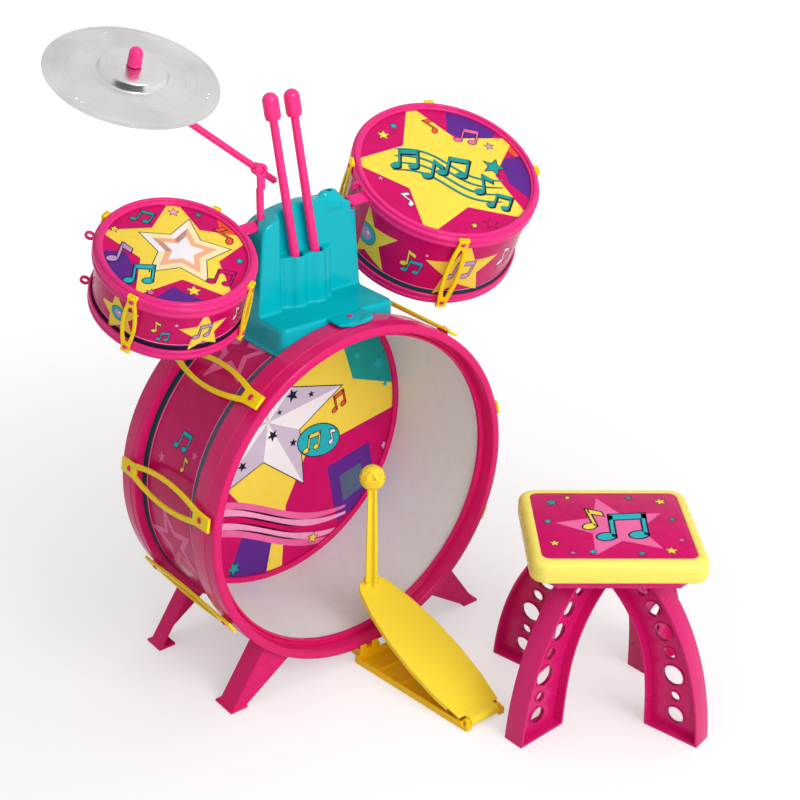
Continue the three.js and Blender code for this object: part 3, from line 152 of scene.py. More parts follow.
def lathe(bm, profile, segments, place, slots=None):  # a closed [radius, height] loop turned about local Z
    rings = []
    for k in range(segments):
        c, s = cos(2 * pi * k / segments), sin(2 * pi * k / segments)
        rings.append([bm.verts.new(place @ Vector((r * c, r * s, z))) for r, z in profile])
    for i, face in enumerate(bridge(bm, rings + rings[:1])):
        if slots:
            face.material_index = slots[i % len(slots)]


def latheOnAxis(bm, profile, segments, place):  # an open loop whose two ends lie on the axis
    top, bottom = (bm.verts.new(place @ Vector((0, 0, profile[end][1]))) for end in (0, -1))
    turns = [2 * pi * k / segments for k in range(segments)]
    rings = [[bm.verts.new(place @ Vector((r * cos(a), r * sin(a), z))) for a in turns]
             for r, z in profile[1:-1]]
    bridge(bm, rings)
    for tip, ring in ((top, rings[0]), (bottom, rings[-1])):
        for k in range(segments):
            bm.faces.new((tip, ring[k - 1], ring[k]))


def stack(bm, levels, place):  # closed [outline, height] levels joined one to the next and capped
    rings = [[bm.verts.new(place @ Vector((x, y, z))) for x, y in outline] for outline, z in levels]
    bridge(bm, rings)
    bm.faces.new(rings[0][::-1])
    bm.faces.new(rings[-1])


# a flat form from z0 to z1 with rounded rims
def plate(bm, outline, z0, z1, place=unmoved, edge=0.0, steps=2):
    levels = [(0.0, z0), (0.0, z1)]
    if edge > 0:
        bends = [(1 - sin(t), 1 - cos(t)) for t in (pi / 2 * k / steps for k in range(steps + 1))]
        levels = [(edge * a, z0 + edge * b) for a, b in bends]
        levels += [(edge * b, z1 - edge * a) for a, b in bends]
    stack(bm, [(grown(outline, -inset) if inset > tiny else outline, z) for inset, z in levels], place)


def rectangle(x0, y0, x1, y1):
    return [(x0, y0), (x1, y0), (x1, y1), (x0, y1)]


def block(bm, low, high, place=unmoved, edge=0.0):
    plate(bm, rectangle(*low[:2], *high[:2]), low[2], high[2], place, edge)


def arc(x, y, radius, start, end, steps=12):
    angles = [radians(start + (end - start) * k / steps) for k in range(steps + 1)]
    return [(x + radius * cos(a), y + radius * sin(a)) for a in angles]


def roundedRectangle(halfX, halfY, radius, steps=10):
    x, y = halfX - radius, halfY - radius
    return (arc(x, y, radius, 0, 90, steps) + arc(-x, y, radius, 90, 180, steps)
            + arc(-x, -y, radius, 180, 270, steps) + arc(x, -y, radius, 270, 360, steps))


def quadratic(a, control, b, steps=8):  # points of a curve from a to b, without a itself
    return [tuple((1 - t) ** 2 * a[i] + 2 * t * (1 - t) * control[i] + t * t * b[i] for i in (0, 1))
            for t in shares(steps)[1:]]


def cubic(a, b, c, d, steps=24):
    points = []
    for t in shares(steps):
        weights = ((1 - t) ** 3, 3 * t * (1 - t) ** 2, 3 * t * t * (1 - t), t ** 3)
        points.append(tuple(sum(w * p[i] for w, p in zip(weights, (a, b, c, d))) for i in (0, 1)))
    return points


def footPlace(points, turn):  # a solid's frame: the given turn, the origin in the middle of its lower end
    own = [turn.transposed() @ p for p in points]
    low, high = ([pick(p[i] for p in own) for i in range(3)] for pick in (min, max))
    origin = turn @ Vector(((low[0] + high[0]) / 2, (low[1] + high[1]) / 2, low[2]))
    return Matrix.Translation(origin) @ turn.to_4x4() @ inMm


def axisPlace(node, towards=(0, -0.4, 0.9), rounds=60):  # a turned solid's own frame: Z along its axis
    points = [Vector(p) for p in {tuple(round(c, 6) for c in v.co) for v in nodes[node].data.vertices}]
    centre = sum(points, Vector()) / len(points)
    spread = Matrix.Diagonal((tiny, tiny, tiny))
    for d in (p - centre for p in points):
        for i in range(3):
            for j in range(3):
                spread[i][j] += d[i] * d[j]
    inverse, axis = spread.inverted(), Vector(towards)
    for _ in range(rounds):
        axis = (inverse @ axis).normalized()
    if axis.dot(Vector(towards)) < 0:
        axis = -axis
    return footPlace(points, Vector((0, 0, 1)).rotation_difference(axis).to_matrix())


def finished(holder):  # an object's mesh after its settings and modifiers; the object itself goes
    mesh = bpy.data.meshes.new_from_object(holder.evaluated_get(bpy.context.evaluated_depsgraph_get()))
    bpy.data.objects.remove(holder)
    return mesh


def cutSheet(name, outlines, z0, z1, place, edge):
    # a flat sheet with holes and rounded rims: the first outline is its edge, the others are its holes
    curve = put(bpy.data.curves.new(name, "CURVE"), dimensions="2D", fill_mode="BOTH",
                extrude=(z1 - z0) / 2 - edge, bevel_depth=edge, bevel_resolution=2, offset=-edge)
    for outline in outlines:
        spline = curve.splines.new("POLY")
        spline.points.add(len(outline) - 1)
        for point, (x, y) in zip(spline.points, outline):
            point.co = (x, y, 0, 1)
        spline.use_cyclic_u = True
    mesh = finished(addObject(name, curve))
    bm = working(mesh)
    bpy.data.curves.remove(curve)
    bpy.data.meshes.remove(mesh)
    bmesh.ops.remove_doubles(bm, verts=bm.verts, dist=1e-3)
    bmesh.ops.transform(bm, matrix=place @ shift(0, 0, (z0 + z1) / 2), verts=bm.verts)
    return bm


def settle(mesh, modifiers):  # runs modifiers on a mesh and returns the finished mesh
    holder = addObject("holder", mesh)
    for kind, settings in modifiers.items():
        put(holder.modifiers.new(kind, kind), **settings)
    result = finished(holder)
    bpy.data.meshes.remove(mesh)
    return result


def carve(mesh, tool, operation="DIFFERENCE", crossed=False):  # cuts, or keeps what two closed meshes share
    holder = addObject("tool", faceOutward(tool))
    made = settle(faceOutward(mesh), {
        "BOOLEAN": {"operation": operation, "solver": "EXACT", "object": holder, "use_self": crossed}})
    bpy.data.objects.remove(holder)
    bpy.data.meshes.remove(tool)
    return made


def soften(mesh, voxel, rounds, keep):  # one skin over all the closed forms in a mesh, with rounded edges
    made = settle(faceOutward(mesh), {
        "WELD": {"merge_threshold": 1e-6}, "REMESH": {"mode": "VOXEL", "voxel_size": voxel},
        "SMOOTH": {"factor": 0.5, "iterations": rounds}, "DECIMATE": {"ratio": keep}})
    for polygon in made.polygons:
        polygon.material_index = 0
    return made


def copyOf(node):  # a CAD solid's mesh, to be worked on
    mesh = nodes[node].data.copy()
    mesh.materials.clear()
    if "custom_normal" in mesh.attributes:
        mesh.attributes.remove(mesh.attributes["custom_normal"])
    return mesh


def softForm(name, node, body, look, voxel, rounds, keep=0.35):  # a CAD solid with its edges rounded
    newPiece(name, soften(copyOf(node), voxel * mm, rounds, keep), body, *looks[look], (node,), 40)


class Wiring:  # places nodes in a tree and links them
    def __init__(self, tree):
        self.tree = tree
        self.column = 0

    def add(self, kind, settings=None, **values):  # an input goes by its name, or by i and its number
        node = put(self.tree.nodes.new(kind), location=(self.column, 0), **(settings or {}))
        self.column += 190
        names = {s.name.replace(" ", ""): s for s in reversed(list(node.inputs))}
        names.update((f"i{k}", s) for k, s in enumerate(node.inputs))
        for key, value in values.items():
            if isinstance(value, bpy.types.NodeSocket):
                self.tree.links.new(value, names[key])
            else:
                names[key].default_value = value
        return node

    def math(self, operation, a, b=0.0):
        return self.add("ShaderNodeMath", {"operation": operation}, i0=a, i1=b, i2=0.0).outputs[0]

    def plus(self, a, b):
        return self.math("ADD", a, b)

    def times(self, a, b):
        return self.math("MULTIPLY", a, b)

    def sway(self, value, amount):  # a noise made to swing about zero
        return self.times(self.math("SUBTRACT", value, 0.5), amount)

    def noise(self, scale, detail=2.0, roughness=0.5, distortion=0.0):
        return self.add("ShaderNodeTexNoise", Vector=self.where, Scale=scale, Detail=detail,
                        Roughness=roughness, Distortion=distortion).outputs["Fac"]

    def vector(self, operation, output, **values):
        return self.add("ShaderNodeVectorMath", {"operation": operation}, **values).outputs[output]

    def ramp(self, value, fromLow, fromHigh, toLow, toHigh):
        return self.add("ShaderNodeMapRange", {"clamp": True}, i0=value, i1=fromLow, i2=fromHigh, i3=toLow,
                        i4=toHigh).outputs[0]

    def locate(self):
        self.where = self.add("ShaderNodeTexCoord").outputs["Object"]
        return self.where

    def close(self, colour, rough, strength, distance, height):  # ends a group and hands it over
        bump = self.add("ShaderNodeBump", Strength=strength, Distance=distance, Height=height)
        self.add("NodeGroupOutput", Color=colour, Roughness=rough, Normal=bump.outputs["Normal"])
        return self.tree


def surface(name, inputs):  # a group that gives colour, roughness and normal: its wiring and what it is given
    group = bpy.data.node_groups.new(name, "ShaderNodeTree")
    for label, value in inputs.items():
        kind = {3: "Vector", 4: "Color"}[len(value)] if isinstance(value, tuple) else "Float"
        socket = group.interface.new_socket(label, in_out="INPUT", socket_type="NodeSocket" + kind)
        socket.default_value = value
    for label, kind in (("Color", "Color"), ("Roughness", "Float"), ("Normal", "Vector")):
        group.interface.new_socket(label, in_out="OUTPUT", socket_type="NodeSocket" + kind)
    w = Wiring(group)
    w.locate()
    return w, w.add("NodeGroupInput").outputs


def makeMouldedSkin():  # injection-moulded plastic: slow flow tone, faint orange peel, handling smudges
    w, given = surface("mouldedSkin", {
        "Color": (0.8, 0.1, 0.3, 1), "Tone": 0.06, "Flow Scale": 14.0, "Gloss": 0.3, "Peel": 0.05})
    flow = w.noise(given["Flow Scale"], 3.0, 0.55, 0.6)
    grain = w.sway(w.noise(420.0, 2.0, 0.6), 0.05)
    smudge = w.ramp(w.noise(55.0, 4.0, 0.62, 1.2), 0.35, 0.75, -0.03, 0.09)
    value = w.plus(w.plus(1.0, w.times(w.sway(flow, given["Tone"]), 2.4)), grain)
    shaded = w.add("ShaderNodeHueSaturation", Value=value, Color=given["Color"]).outputs["Color"]
    return w.close(shaded, w.plus(w.plus(given["Gloss"], smudge), grain), given["Peel"], 0.0006,
                   w.plus(w.noise(300.0), w.times(flow, 2.0)))


# ink on film: soft cloudy ink density, fine screen grain, slight waviness of the sheet
def makePrintedFilm():
    w, given = surface("printedFilm", {
        "Color": (0.8, 0.1, 0.3, 1), "Mottle": 0.18, "Mottle Scale": 38.0, "Gloss": 0.35, "Wave": 0.06})
    cloud = w.noise(given["Mottle Scale"], 5.0, 0.62, 1.6)
    darker = w.times(w.ramp(cloud, 0.46, 0.68, 0.0, 1.0), given["Mottle"])
    value = w.plus(w.math("SUBTRACT", 1.02, darker), w.sway(w.noise(900.0, 1.0), 0.08))
    inked = w.add("ShaderNodeHueSaturation", Value=value, Color=given["Color"]).outputs["Color"]
    return w.close(inked, w.plus(given["Gloss"], w.sway(cloud, 0.16)), given["Wave"], 0.004,
                   w.noise(16.0, 2.0, 0.4))


def makeSpunMetal():  # turned sheet steel: fine rings about the piece's axis with uneven polish
    w, given = surface("spunMetal", {
        "Bright": (0.8, 0.8, 0.8, 1), "Dull": (0.5, 0.5, 0.5, 1), "Centre": (0, 0, 0), "Axis": (0, 0, 1),
        "Rings": 900.0, "Gloss": 0.3})
    away = w.vector("SUBTRACT", 0, i0=w.where, i1=given["Centre"])
    height = w.vector("DOT_PRODUCT", "Value", i0=away, i1=given["Axis"])
    length = w.vector("LENGTH", "Value", i0=away)
    radius = w.math("SQRT", w.math("SUBTRACT", w.times(length, length), w.times(height, height)))
    rings, wide = (w.add("ShaderNodeTexNoise", {"noise_dimensions": "1D"}, W=radius, Scale=scale,
                         Detail=detail, Roughness=roughness).outputs["Fac"]
                   for scale, detail, roughness in ((given["Rings"], 4.0, 0.7), (60.0, 1.0, 0.5)))
    uneven = w.noise(18.0, 3.0, 0.5, 0.4)
    mixed = w.plus(w.times(rings, 0.3), w.plus(w.times(wide, 0.1), w.times(uneven, 0.6)))
    colour = w.add("ShaderNodeMix", {"data_type": "RGBA"}, i0=w.ramp(mixed, 0.36, 0.64, 0.0, 1.0),
                   i6=given["Dull"], i7=given["Bright"]).outputs[2]
    return w.close(colour, w.plus(given["Gloss"], w.ramp(mixed, 0.3, 0.7, 0.1, -0.06)), 0.10, 0.0002, rings)


mouldedSkin, printedFilm, spunMetal = makeMouldedSkin(), makePrintedFilm(), makeSpunMetal()


def newMaterial(name):
    return put(bpy.data.materials.new(name), use_nodes=True)


def finish(name, group, values, specular=0.3, metallic=0.0):
    material = newMaterial(name)
    tree = material.node_tree
    shader = tree.nodes["Principled BSDF"]
    skin = put(tree.nodes.new("ShaderNodeGroup"), node_tree=group, location=(-260, 200))
    for key, value in values.items():
        skin.inputs[key].default_value = value
    for output, target in (("Color", "Base Color"), ("Roughness", "Roughness"), ("Normal", "Normal")):
        tree.links.new(skin.outputs[output], shader.inputs[target])
    shader.inputs["Specular IOR Level"].default_value = specular
    shader.inputs["Metallic"].default_value = metallic
    return material


def linear(code):  # a hex colour as linear RGBA
    parts = [int(code[i:i + 2], 16) / 255 for i in (1, 3, 5)]
    return tuple(c / 12.92 if c <= 0.04045 else ((c + 0.055) / 1.055) ** 2.4 for c in parts) + (1.0,)


def plastic(name, colour, tone=0.03, gloss=0.22, peel=0.02, flow=14.0, specular=0.12):
    return finish(name, mouldedSkin, {
        "Color": linear(colour), "Tone": tone, "Flow Scale": flow, "Gloss": gloss, "Peel": peel}, specular)


def ink(name, colour, mottle=0.10, scale=38.0, gloss=0.32, wave=0.05, specular=0.08):
    return finish(name, printedFilm, {
        "Color": linear(colour), "Mottle": mottle, "Mottle Scale": scale, "Gloss": gloss, "Wave": wave},
        specular)


def metal(name, bright, dull, **more):
    return finish(name, spunMetal, {"Bright": (*bright, 1), "Dull": (*dull, 1), **more}, metallic=1.0)


plastics = {  # slot in the frame, colour, and what differs from plain plastic
    "hoop": ("drum_pink", "#dc1c6c", {"gloss": 0.16, "specular": 0.16}),
    "tomHoop": ("drum_pink", "#e92c82", {"gloss": 0.16, "specular": 0.16}),
    "foot": ("drum_pink", "#dc1c6c", {"gloss": 0.26}),
    "strap": ("strap_yellow", "#ffdf1a", {"gloss": 0.28, "flow": 30.0}),
    "footboard": ("pedal_yellow", "#ffe23a", {"tone": 0.02, "gloss": 0.36, "specular": 0.2}),
    "pedalBase": ("pedal_yellow", "#fbc806", {"gloss": 0.34, "specular": 0.25}),
    "stand": ("teal", "#00b4c0", {"gloss": 0.16, "specular": 0.16}),
    "stick": ("rod_pink", "#fa3488", {"tone": 0.015, "gloss": 0.28, "flow": 30.0, "specular": 0.25}),
    "seat": ("seat_yellow", "#f5e46c", {"gloss": 0.27}),
    "leg": ("leg_magenta", "#d2146c", {"tone": 0.07, "gloss": 0.3, "flow": 9.0, "peel": 0.05,
                                       "specular": 0.3}),
}
inkColours = {
    "magenta": "#cf0f66", "pink": "#ef6ca6", "lightPink": "#f7a3c8", "yellow": "#f6d94e", "teal": "#1f9c96",
    "slate": "#56657f", "darkTeal": "#0b4f55", "purple": "#5f2a8c", "navy": "#211d38", "white": "#f3eef2",
    "lilac": "#c79ad0", "orange": "#ee5a34", "cream": "#f6e6b4", "peach": "#f2b48c", "aqua": "#27b2bd",
    "shade": "#cdbfd2",
}
inkExtras = {  # what differs from plain ink
    "magenta": {"mottle": 0.16, "scale": 30.0}, "yellow": {"mottle": 0.05}, "white": {"mottle": 0.03},
    "cream": {"mottle": 0.04}, "peach": {"mottle": 0.05}, "aqua": {"mottle": 0.06}, "shade": {"mottle": 0.05},
}
looks = {name: (slot, [plastic(name + "Plastic", colour, **extras)])
         for name, (slot, colour, extras) in plastics.items()}
inks = {name: ink(name + "Ink", colour, **inkExtras.get(name, {})) for name, colour in inkColours.items()}
looks["shell"] = ("printed_wrap", [
    ink("wrapInk", inkColours["magenta"], 0.16, 26.0, 0.22, specular=0.12),
    ink("liningFilm", "#e8eef2", 0.04, 60.0, 0.5, 0.03, 0.15)])
looks["head"] = ("printed_head", [inks["yellow"], inks["magenta"]])
looks["label"] = ("label_print", [inks["magenta"]])
springWire = metal("springWire", (0.5, 0.5, 0.52), (0.3, 0.3, 0.32))
print("drum kit:", len(plastics) + len(inks), "plastics and inks made")


def moved(points, x, y, turn=0.0, size=1.0):
    c, s = cos(radians(turn)) * size, sin(radians(turn)) * size
    return [(x + p[0] * c - p[1] * s, y + p[0] * s + p[1] * c) for p in points]


def star(x, y, outer, turn=0.0, inner=0.42):  # five points; turn in degrees, 0 points up
    spokes = [(outer * inner if k % 2 else outer, radians(90 + turn) + pi * k / 5) for k in range(10)]
    return [(x + r * cos(a), y + r * sin(a)) for r, a in spokes]


def oval(x, y, a, b, turn=0.0, steps=28):
    return moved([(a * cos(t), b * sin(t)) for t in (2 * pi * k / steps for k in range(steps))], x, y, turn)


def areaOf(points):
    return sum(a[0] * b[1] - b[0] * a[1] for a, b in zip(points, points[1:] + points[:1])) / 2


noteForms = {  # about 1.0 tall, the stem upright: one note, and two under one beam
    1: [oval(-0.13, -0.42, 0.2, 0.14, 22), rectangle(0.0, -0.42, 0.075, 0.5),
        [(0.03, 0.5), (0.03, 0.28), (0.4, 0.1), (0.4, 0.3)]],
    2: [oval(-0.42, -0.42, 0.19, 0.13, 20), oval(0.24, -0.3, 0.19, 0.13, 20),
        rectangle(-0.31, -0.42, -0.24, 0.42), rectangle(0.35, -0.3, 0.42, 0.54),
        [(-0.31, 0.24), (0.42, 0.36), (0.42, 0.56), (-0.31, 0.44)]],
}


def waveBand(x0, y0, length, rise, width, waves, turn, phase=0.0, steps=36):  # thinner towards its ends
    top, bottom = [], []
    for t in shares(steps):
        y = rise * sin(2 * pi * (waves * t + phase))
        half = width / 2 * (0.35 + 0.65 * sin(pi * t))
        top.append((length * t, y + half))
        bottom.append((length * t, y - half))
    return moved(bottom + top[::-1], x0, y0, turn)


def clipConvex(points, lines):  # keeps what lies on the inner side of each (point, normal) line
    for (px, py), (nx, ny) in lines:
        result = []
        for i, b in enumerate(points):
            a = points[i - 1]
            da, db = ((x - px) * nx + (y - py) * ny for x, y in (a, b))
            if (da >= 0) != (db >= 0):
                t = da / (da - db)
                result.append((a[0] + (b[0] - a[0]) * t, a[1] + (b[1] - a[1]) * t))
            if db >= 0:
                result.append(b)
        points = result
        if len(points) < 3:
            return []
    return points


def roundClip(radius, sides=90):
    angles = [2 * pi * k / sides for k in range(sides)]
    return [((radius * cos(a), radius * sin(a)), (-cos(a), -sin(a))) for a in angles]


def boxClip(halfX, y0, y1):
    return [((-halfX, y0), (1, 0)), ((halfX, y1), (-1, 0)), ((-halfX, y0), (0, 1)), ((halfX, y1), (0, -1))]


def stripsOf(points, strip):  # a cut shape divided into strips, so that it can bend round a wall
    if len(points) < 3 or not strip:
        return [points] if points else []
    first, last = (floor(pick(p[0] for p in points) / strip) for pick in (min, max))
    parts = [clipConvex(points, [((k * strip, 0), (1, 0)), (((k + 1) * strip, 0), (-1, 0))])
             for k in range(first, last + 1)]
    return [part for part in parts if part]


inkLayer = {"first": 0.06, "step": 0.035, "share": 0.9}  # how far up each ink layer stands, and its thickness
smallest = {"side": 2e-3, "area": 1e-4}  # scraps of print below these are dropped


def layPrint(name, shapes, where, clip, body, slot, strip=None, turn=0.0):
    bm = working()  # flat shapes, cut to the printed face and laid on it in layers
    used = [colour for colour in inks if any(shape[1] == colour for shape in shapes)]
    for points, colour, level in shapes:
        points = moved(points, 0, 0, turn)
        if areaOf(points) < 0:
            points = points[::-1]
        lift = inkLayer["first"] + level * inkLayer["step"]
        for corners in tessellate_polygon([[Vector((x, y, 0)) for x, y in points]]):
            triangle = [points[i] for i in corners]
            if areaOf(triangle) < 0:
                triangle = triangle[::-1]
            for part in stripsOf(clipConvex(triangle, clip), strip):
                clean = [p for i, p in enumerate(part) if dist(p, part[i - 1]) > smallest["side"]]
                if len(clean) < 3 or abs(areaOf(clean)) < smallest["area"]:
                    continue
                face = bm.faces.new([bm.verts.new(where(x, y, lift)) for x, y in clean])
                face.material_index = used.index(colour)
    bmesh.ops.remove_doubles(bm, verts=bm.verts, dist=2e-6)
    mesh = bpy.data.meshes.new(name)
    bm.to_mesh(mesh)
    bm.free()
    for colour in used:
        mesh.materials.append(inks[colour])
    thickness = inkLayer["step"] * inkLayer["share"] * mm
    mesh = settle(mesh, {"SOLIDIFY": {"thickness": thickness, "offset": -1.0, "use_even_offset": False}})
    newPiece(name, mesh, body, slot, [], (), 20)


def flatPlace(place):  # x to the right and y up on a flat printed face
    return lambda x, y, lift: place @ Vector((x, y, lift))


def wrapPlace(place, radius):  # x runs round the wall as arc length, y along its axis
    return lambda x, y, lift: place @ Vector((
        (radius + lift) * cos(x / radius), (radius + lift) * sin(x / radius), y))


# a flat form set up on a drum's side
turnSide = Matrix(((0, 0, 1, 0), (1, 0, 0, 0), (0, 1, 0, 0), (0, 0, 0, 1)))
shellLow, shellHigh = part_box("bass_shell")
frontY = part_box("bass_near_hoop")[0].y
drumX = (shellLow.x + shellHigh.x) / 2
bassPlace = shift(drumX, frontY, (shellLow.z + shellHigh.z) / 2) @ upright @ inMm
bass = {
    "hoopRadius": 190, "depth": 176, "wall": 3, "rimWidth": 9.4, "shellRadius": 180, "shellWall": 1.8,
    "strapMiddle": 92, "strapStep": 39.2, "hookPin": 2.7, "hookRise": 5, "hookShift": 3, "segments": 192,
}
nearHoop = {"skirt": 39.5, "recess": 17, "lip": 173.8, "rise": 2.6, "hook": 33}
farHoop = {"skirt": 26, "recess": 8.5, "lip": 172, "rise": 0, "hook": 13}
bassStrap = {
    "holeInset": 19, "farHoleInset": 23, "endLength": 15, "endWidth": 17, "midWidth": 33, "arm": 5,
    "thickness": 3, "pin": 2.9, "lug": 10, "lugHeight": 2.6,
}
tomStrap = {
    "holeInset": 8.5, "farHoleInset": 8.5, "endLength": 6.5, "endWidth": 9.5, "midWidth": 15.5, "arm": 3.2,
    "thickness": 2.6, "pin": 2.3, "lug": 0, "lugHeight": 0, "hookReach": 2.4, "hookDrop": 3,
}
pinProud = 1.2
fitGap = 0.3
playInHole = 0.35


def addPin(bm, place, spec, radius, angle, height):  # the pink pin, on its lug, that a strap's end goes over
    side = place @ spin(angle, "Z") @ shift(radius, 0, height) @ turnSide
    top = spec["lugHeight"] + fitGap + spec["thickness"] + pinProud
    plate(bm, oval(0, 0, spec["pin"], spec["pin"] * 0.82), -1, top, side, 0.7, 3)
    if spec["lug"]:
        half = spec["lug"] / 2
        plate(bm, roundedRectangle(half, half, 1.2, 3), -2.2, spec["lugHeight"], side, 0.5)


def strapSheet(spec, spacing):  # a strap laid flat: its edge, its window and its two holes
    half, edge = spacing / 2, spec["endWidth"] / 2
    bowStart, tip, inner = half - spec["endLength"] / 2, half + spec["endLength"], edge - spec["arm"]

    def bow(x, reach, start):
        return [(x, -start)] + quadratic((x, -start), (reach, 0), (x, start), 20)

    def bothSides(points, end=()):
        return points + list(end) + [(-x, y) for x, y in points[::-1]]

    right = bow(edge, spec["midWidth"] - edge, bowStart)
    outline = bothSides(right, [(edge - 1, tip), (1 - edge, tip)]) + [(1 - edge, -tip), (edge - 1, -tip)]
    window = bothSides(bow(inner, spec["midWidth"] - 2 * spec["arm"] - inner, bowStart - spec["arm"]))
    hole = spec["pin"] + playInHole
    return [outline] + [h[::-1] for h in (window, *(oval(0, y, hole, hole * 0.84) for y in (-half, half)))]


def makeStraps(drum, place, spec, radius, depth, angles):
    spacing = depth - spec["holeInset"] - spec["farHoleInset"]
    tip, half = spacing / 2 + spec["endLength"], spec["endWidth"] / 2
    for i, angle in enumerate(angles):
        side = place @ spin(angle, "Z") @ shift(
            radius + spec["lugHeight"] + fitGap, 0, -spec["holeInset"] - spacing / 2) @ turnSide
        bm = cutSheet("strap", strapSheet(spec, spacing), 0, spec["thickness"], side, 0.55)
        if "hookReach" in spec:  # both ends lap over the step of their hoop
            for low in (tip - spec["hookDrop"], -tip):
                block(bm, (-half, low, -spec["hookReach"]),
                      (half, low + spec["hookDrop"], spec["thickness"] + 0.5), side, 0.9)
        node = f"{drum}_strap_{i + 1}"
        newPiece(node.replace("_strap", "Strap"), bm, "kit", *looks["strap"], (node,), 40)


def bassHoopProfile(form):  # radius, height and the corner's own radius
    r, wall, seat = bass["hoopRadius"], bass["wall"], bass["shellRadius"] + fitGap
    skirt, recess, lip, rise = form["skirt"], form["recess"], form["lip"], form["rise"]
    points = [(r, -skirt, 1.0), (r, -18.4, 0.8), (r + 0.8, -17, 0.8), (r, -15.6, 0.8), (r, 0, 2.6),
              (r - bass["rimWidth"], 0, 1.6), (r - bass["rimWidth"], -recess, 1.4)]
    if rise > 0:
        points += [(lip + 3.4, -recess, 1.0), (lip + 2.4, rise - recess, 1.0), (lip, rise - recess, 1.0)]
    else:
        points += [(lip, -recess, 1.2)]
    return softened(points + [(lip, -recess - wall, 1.2), (r - wall, -recess - wall, 1.4),
                              (r - wall, wall - skirt, 1.0), (seat, wall - skirt, 0.6), (seat, -skirt, 0.8)])


def makeBassHoop(name, node, form, place, sign, strapInset):  # sign: which way the hoop faces
    bm = working()
    r = bass["hoopRadius"]
    lathe(bm, bassHoopProfile(form), bass["segments"], place)
    for angle in strapAngles:
        addPin(bm, place, bassStrap, r, sign * angle, -strapInset)
    pinPlace = place @ shift(bass["hookShift"], 0, -form["hook"]) @ spin(-90 * sign, "X")
    plate(bm, roundedRectangle(bass["hookPin"], bass["hookPin"] * 0.8, 0.8, 4), r - 1, r + bass["hookRise"],
          pinPlace, 0.7, 3)  # the square pin that the stand's tab goes over
    newPiece(name, bm, "kit", *looks["hoop"], (node,), 50)


strapAngles = [bass["strapMiddle"] + side * bass["strapStep"] * i for i in (1, 2, 3) for side in (-1, 1)]
makeBassHoop("bassNearHoop", "bass_near_hoop", nearHoop, bassPlace, 1, bassStrap["holeInset"])
makeBassHoop("bassFarHoop", "bass_far_hoop", farHoop, bassPlace @ shift(0, 0, -bass["depth"]) @ flip, -1,
             bassStrap["farHoleInset"])
makeStraps("bass", bassPlace, bassStrap, bass["hoopRadius"], bass["depth"], strapAngles)


def makeShell(name, node, place, radius, wall, low, high, segments):  # print ground outside, lining inside
    bm = working()
    profile = [(radius, low), (radius, high), (radius - wall, high), (radius - wall, low)]
    lathe(bm, profile, segments, place, (0, 1, 1, 1))
    newPiece(name, bm, "kit", *looks["shell"], (node,), 30)


def makeHead(name, node, place, radius, top, thickness, rimInner):
    bm = working()
    edge, inner, foot = 0.4, rimInner - 0.4, top - thickness
    latheOnAxis(bm, [(0, top), (inner, top), (radius - edge, top), (radius, top - edge),
                     (radius, foot + edge), (radius - edge, foot), (inner, foot), (0, foot)], 120, place)
    mesh = meshFrom(bm, name)
    toHead = place.inverted()
    # the margin under the hoop's lip is magenta, the ground of the print yellow
    for polygon in mesh.polygons:
        middle = toHead @ polygon.center
        polygon.material_index = int(hypot(middle.x, middle.y) > inner)
    newPiece(name, mesh, "kit", *looks["head"], (node,), 30)


headThickness = 1.2
headRadius = bass["hoopRadius"] - bass["rimWidth"] - fitGap
headTop = -bass["depth"] + farHoop["recess"] - fitGap
makeShell("bassShell", "bass_shell", bassPlace, bass["shellRadius"], bass["shellWall"],
          headTop + 2 * fitGap + bass["wall"], -nearHoop["recess"] - bass["wall"] - fitGap, bass["segments"])
makeHead("bassHead", "bass_head", bassPlace, headRadius, headTop, headThickness, farHoop["lip"])
print("drum kit: bass drum made")

toms = {
    "left": {"radius": 78.4, "depth": 75, "straps": [-151, -58, 29, 117], "eyelet": 138, "tab": 5,
             "strap": tomStrap},
    "right": {"radius": 104.2, "depth": 107.5, "straps": [-117, -23, 64, 152], "eyelet": 168, "tab": 177,
              "strap": {**tomStrap, "endWidth": 11.5, "midWidth": 18.5, "arm": 4.6}},
}
tomForm = {
    "skirt": 15.5, "stepDrop": 5, "stepWidth": 3, "rimWidth": 9.8, "headDrop": 5.5, "wall": 2.6,
    "headThickness": 1, "shellWall": 1.6, "segments": 144, "lowerTrim": 0.6, "tabHalf": 6.8,
    "tabThickness": 3, "tabDrop": 8, "tabLip": 9, "tabReach": 22, "eyeOuter": 5.2, "eyeInner": 2.6,
    "eyeThickness": 3, "eyeAway": 1.3,
}


def tomHoopProfile(r):  # radius, height and the corner's own radius
    f = tomForm
    skirt, step, drop = -f["skirt"], -f["stepDrop"], -f["headDrop"]
    rim, inner, wall = r - f["stepWidth"], r - f["rimWidth"], r - f["wall"]
    return softened([
        (r, skirt, 1.2), (r, skirt + 3.2, 1.2), (r - 1.2, skirt + 4.2, 0.8), (r - 1.2, -8.8, 0.8),
        (r, -7.8, 1.2), (r, step + 0.4, 1.4), (rim, step + 1.2, 1.0), (rim, 0, 2.6), (rim - 4.4, 0, 2.2),
        (rim - 4.6, -2.6, 0.8), (inner, -3.4, 0.9), (inner, drop, 0.3), (wall, drop, 0.3),
        (wall, skirt, 0.8)])


def addEyelet(bm, place, radius, angle):
    f = tomForm
    side = place @ spin(angle, "Z") @ shift(
        radius + f["eyeInner"] + f["eyeAway"], 0, -tomStrap["holeInset"]) @ upright
    half = f["eyeThickness"] / 2
    lathe(bm, rounded(rectangle(f["eyeInner"], -half, f["eyeOuter"], half)[::-1], [0.9] * 4, 3), 36, side)


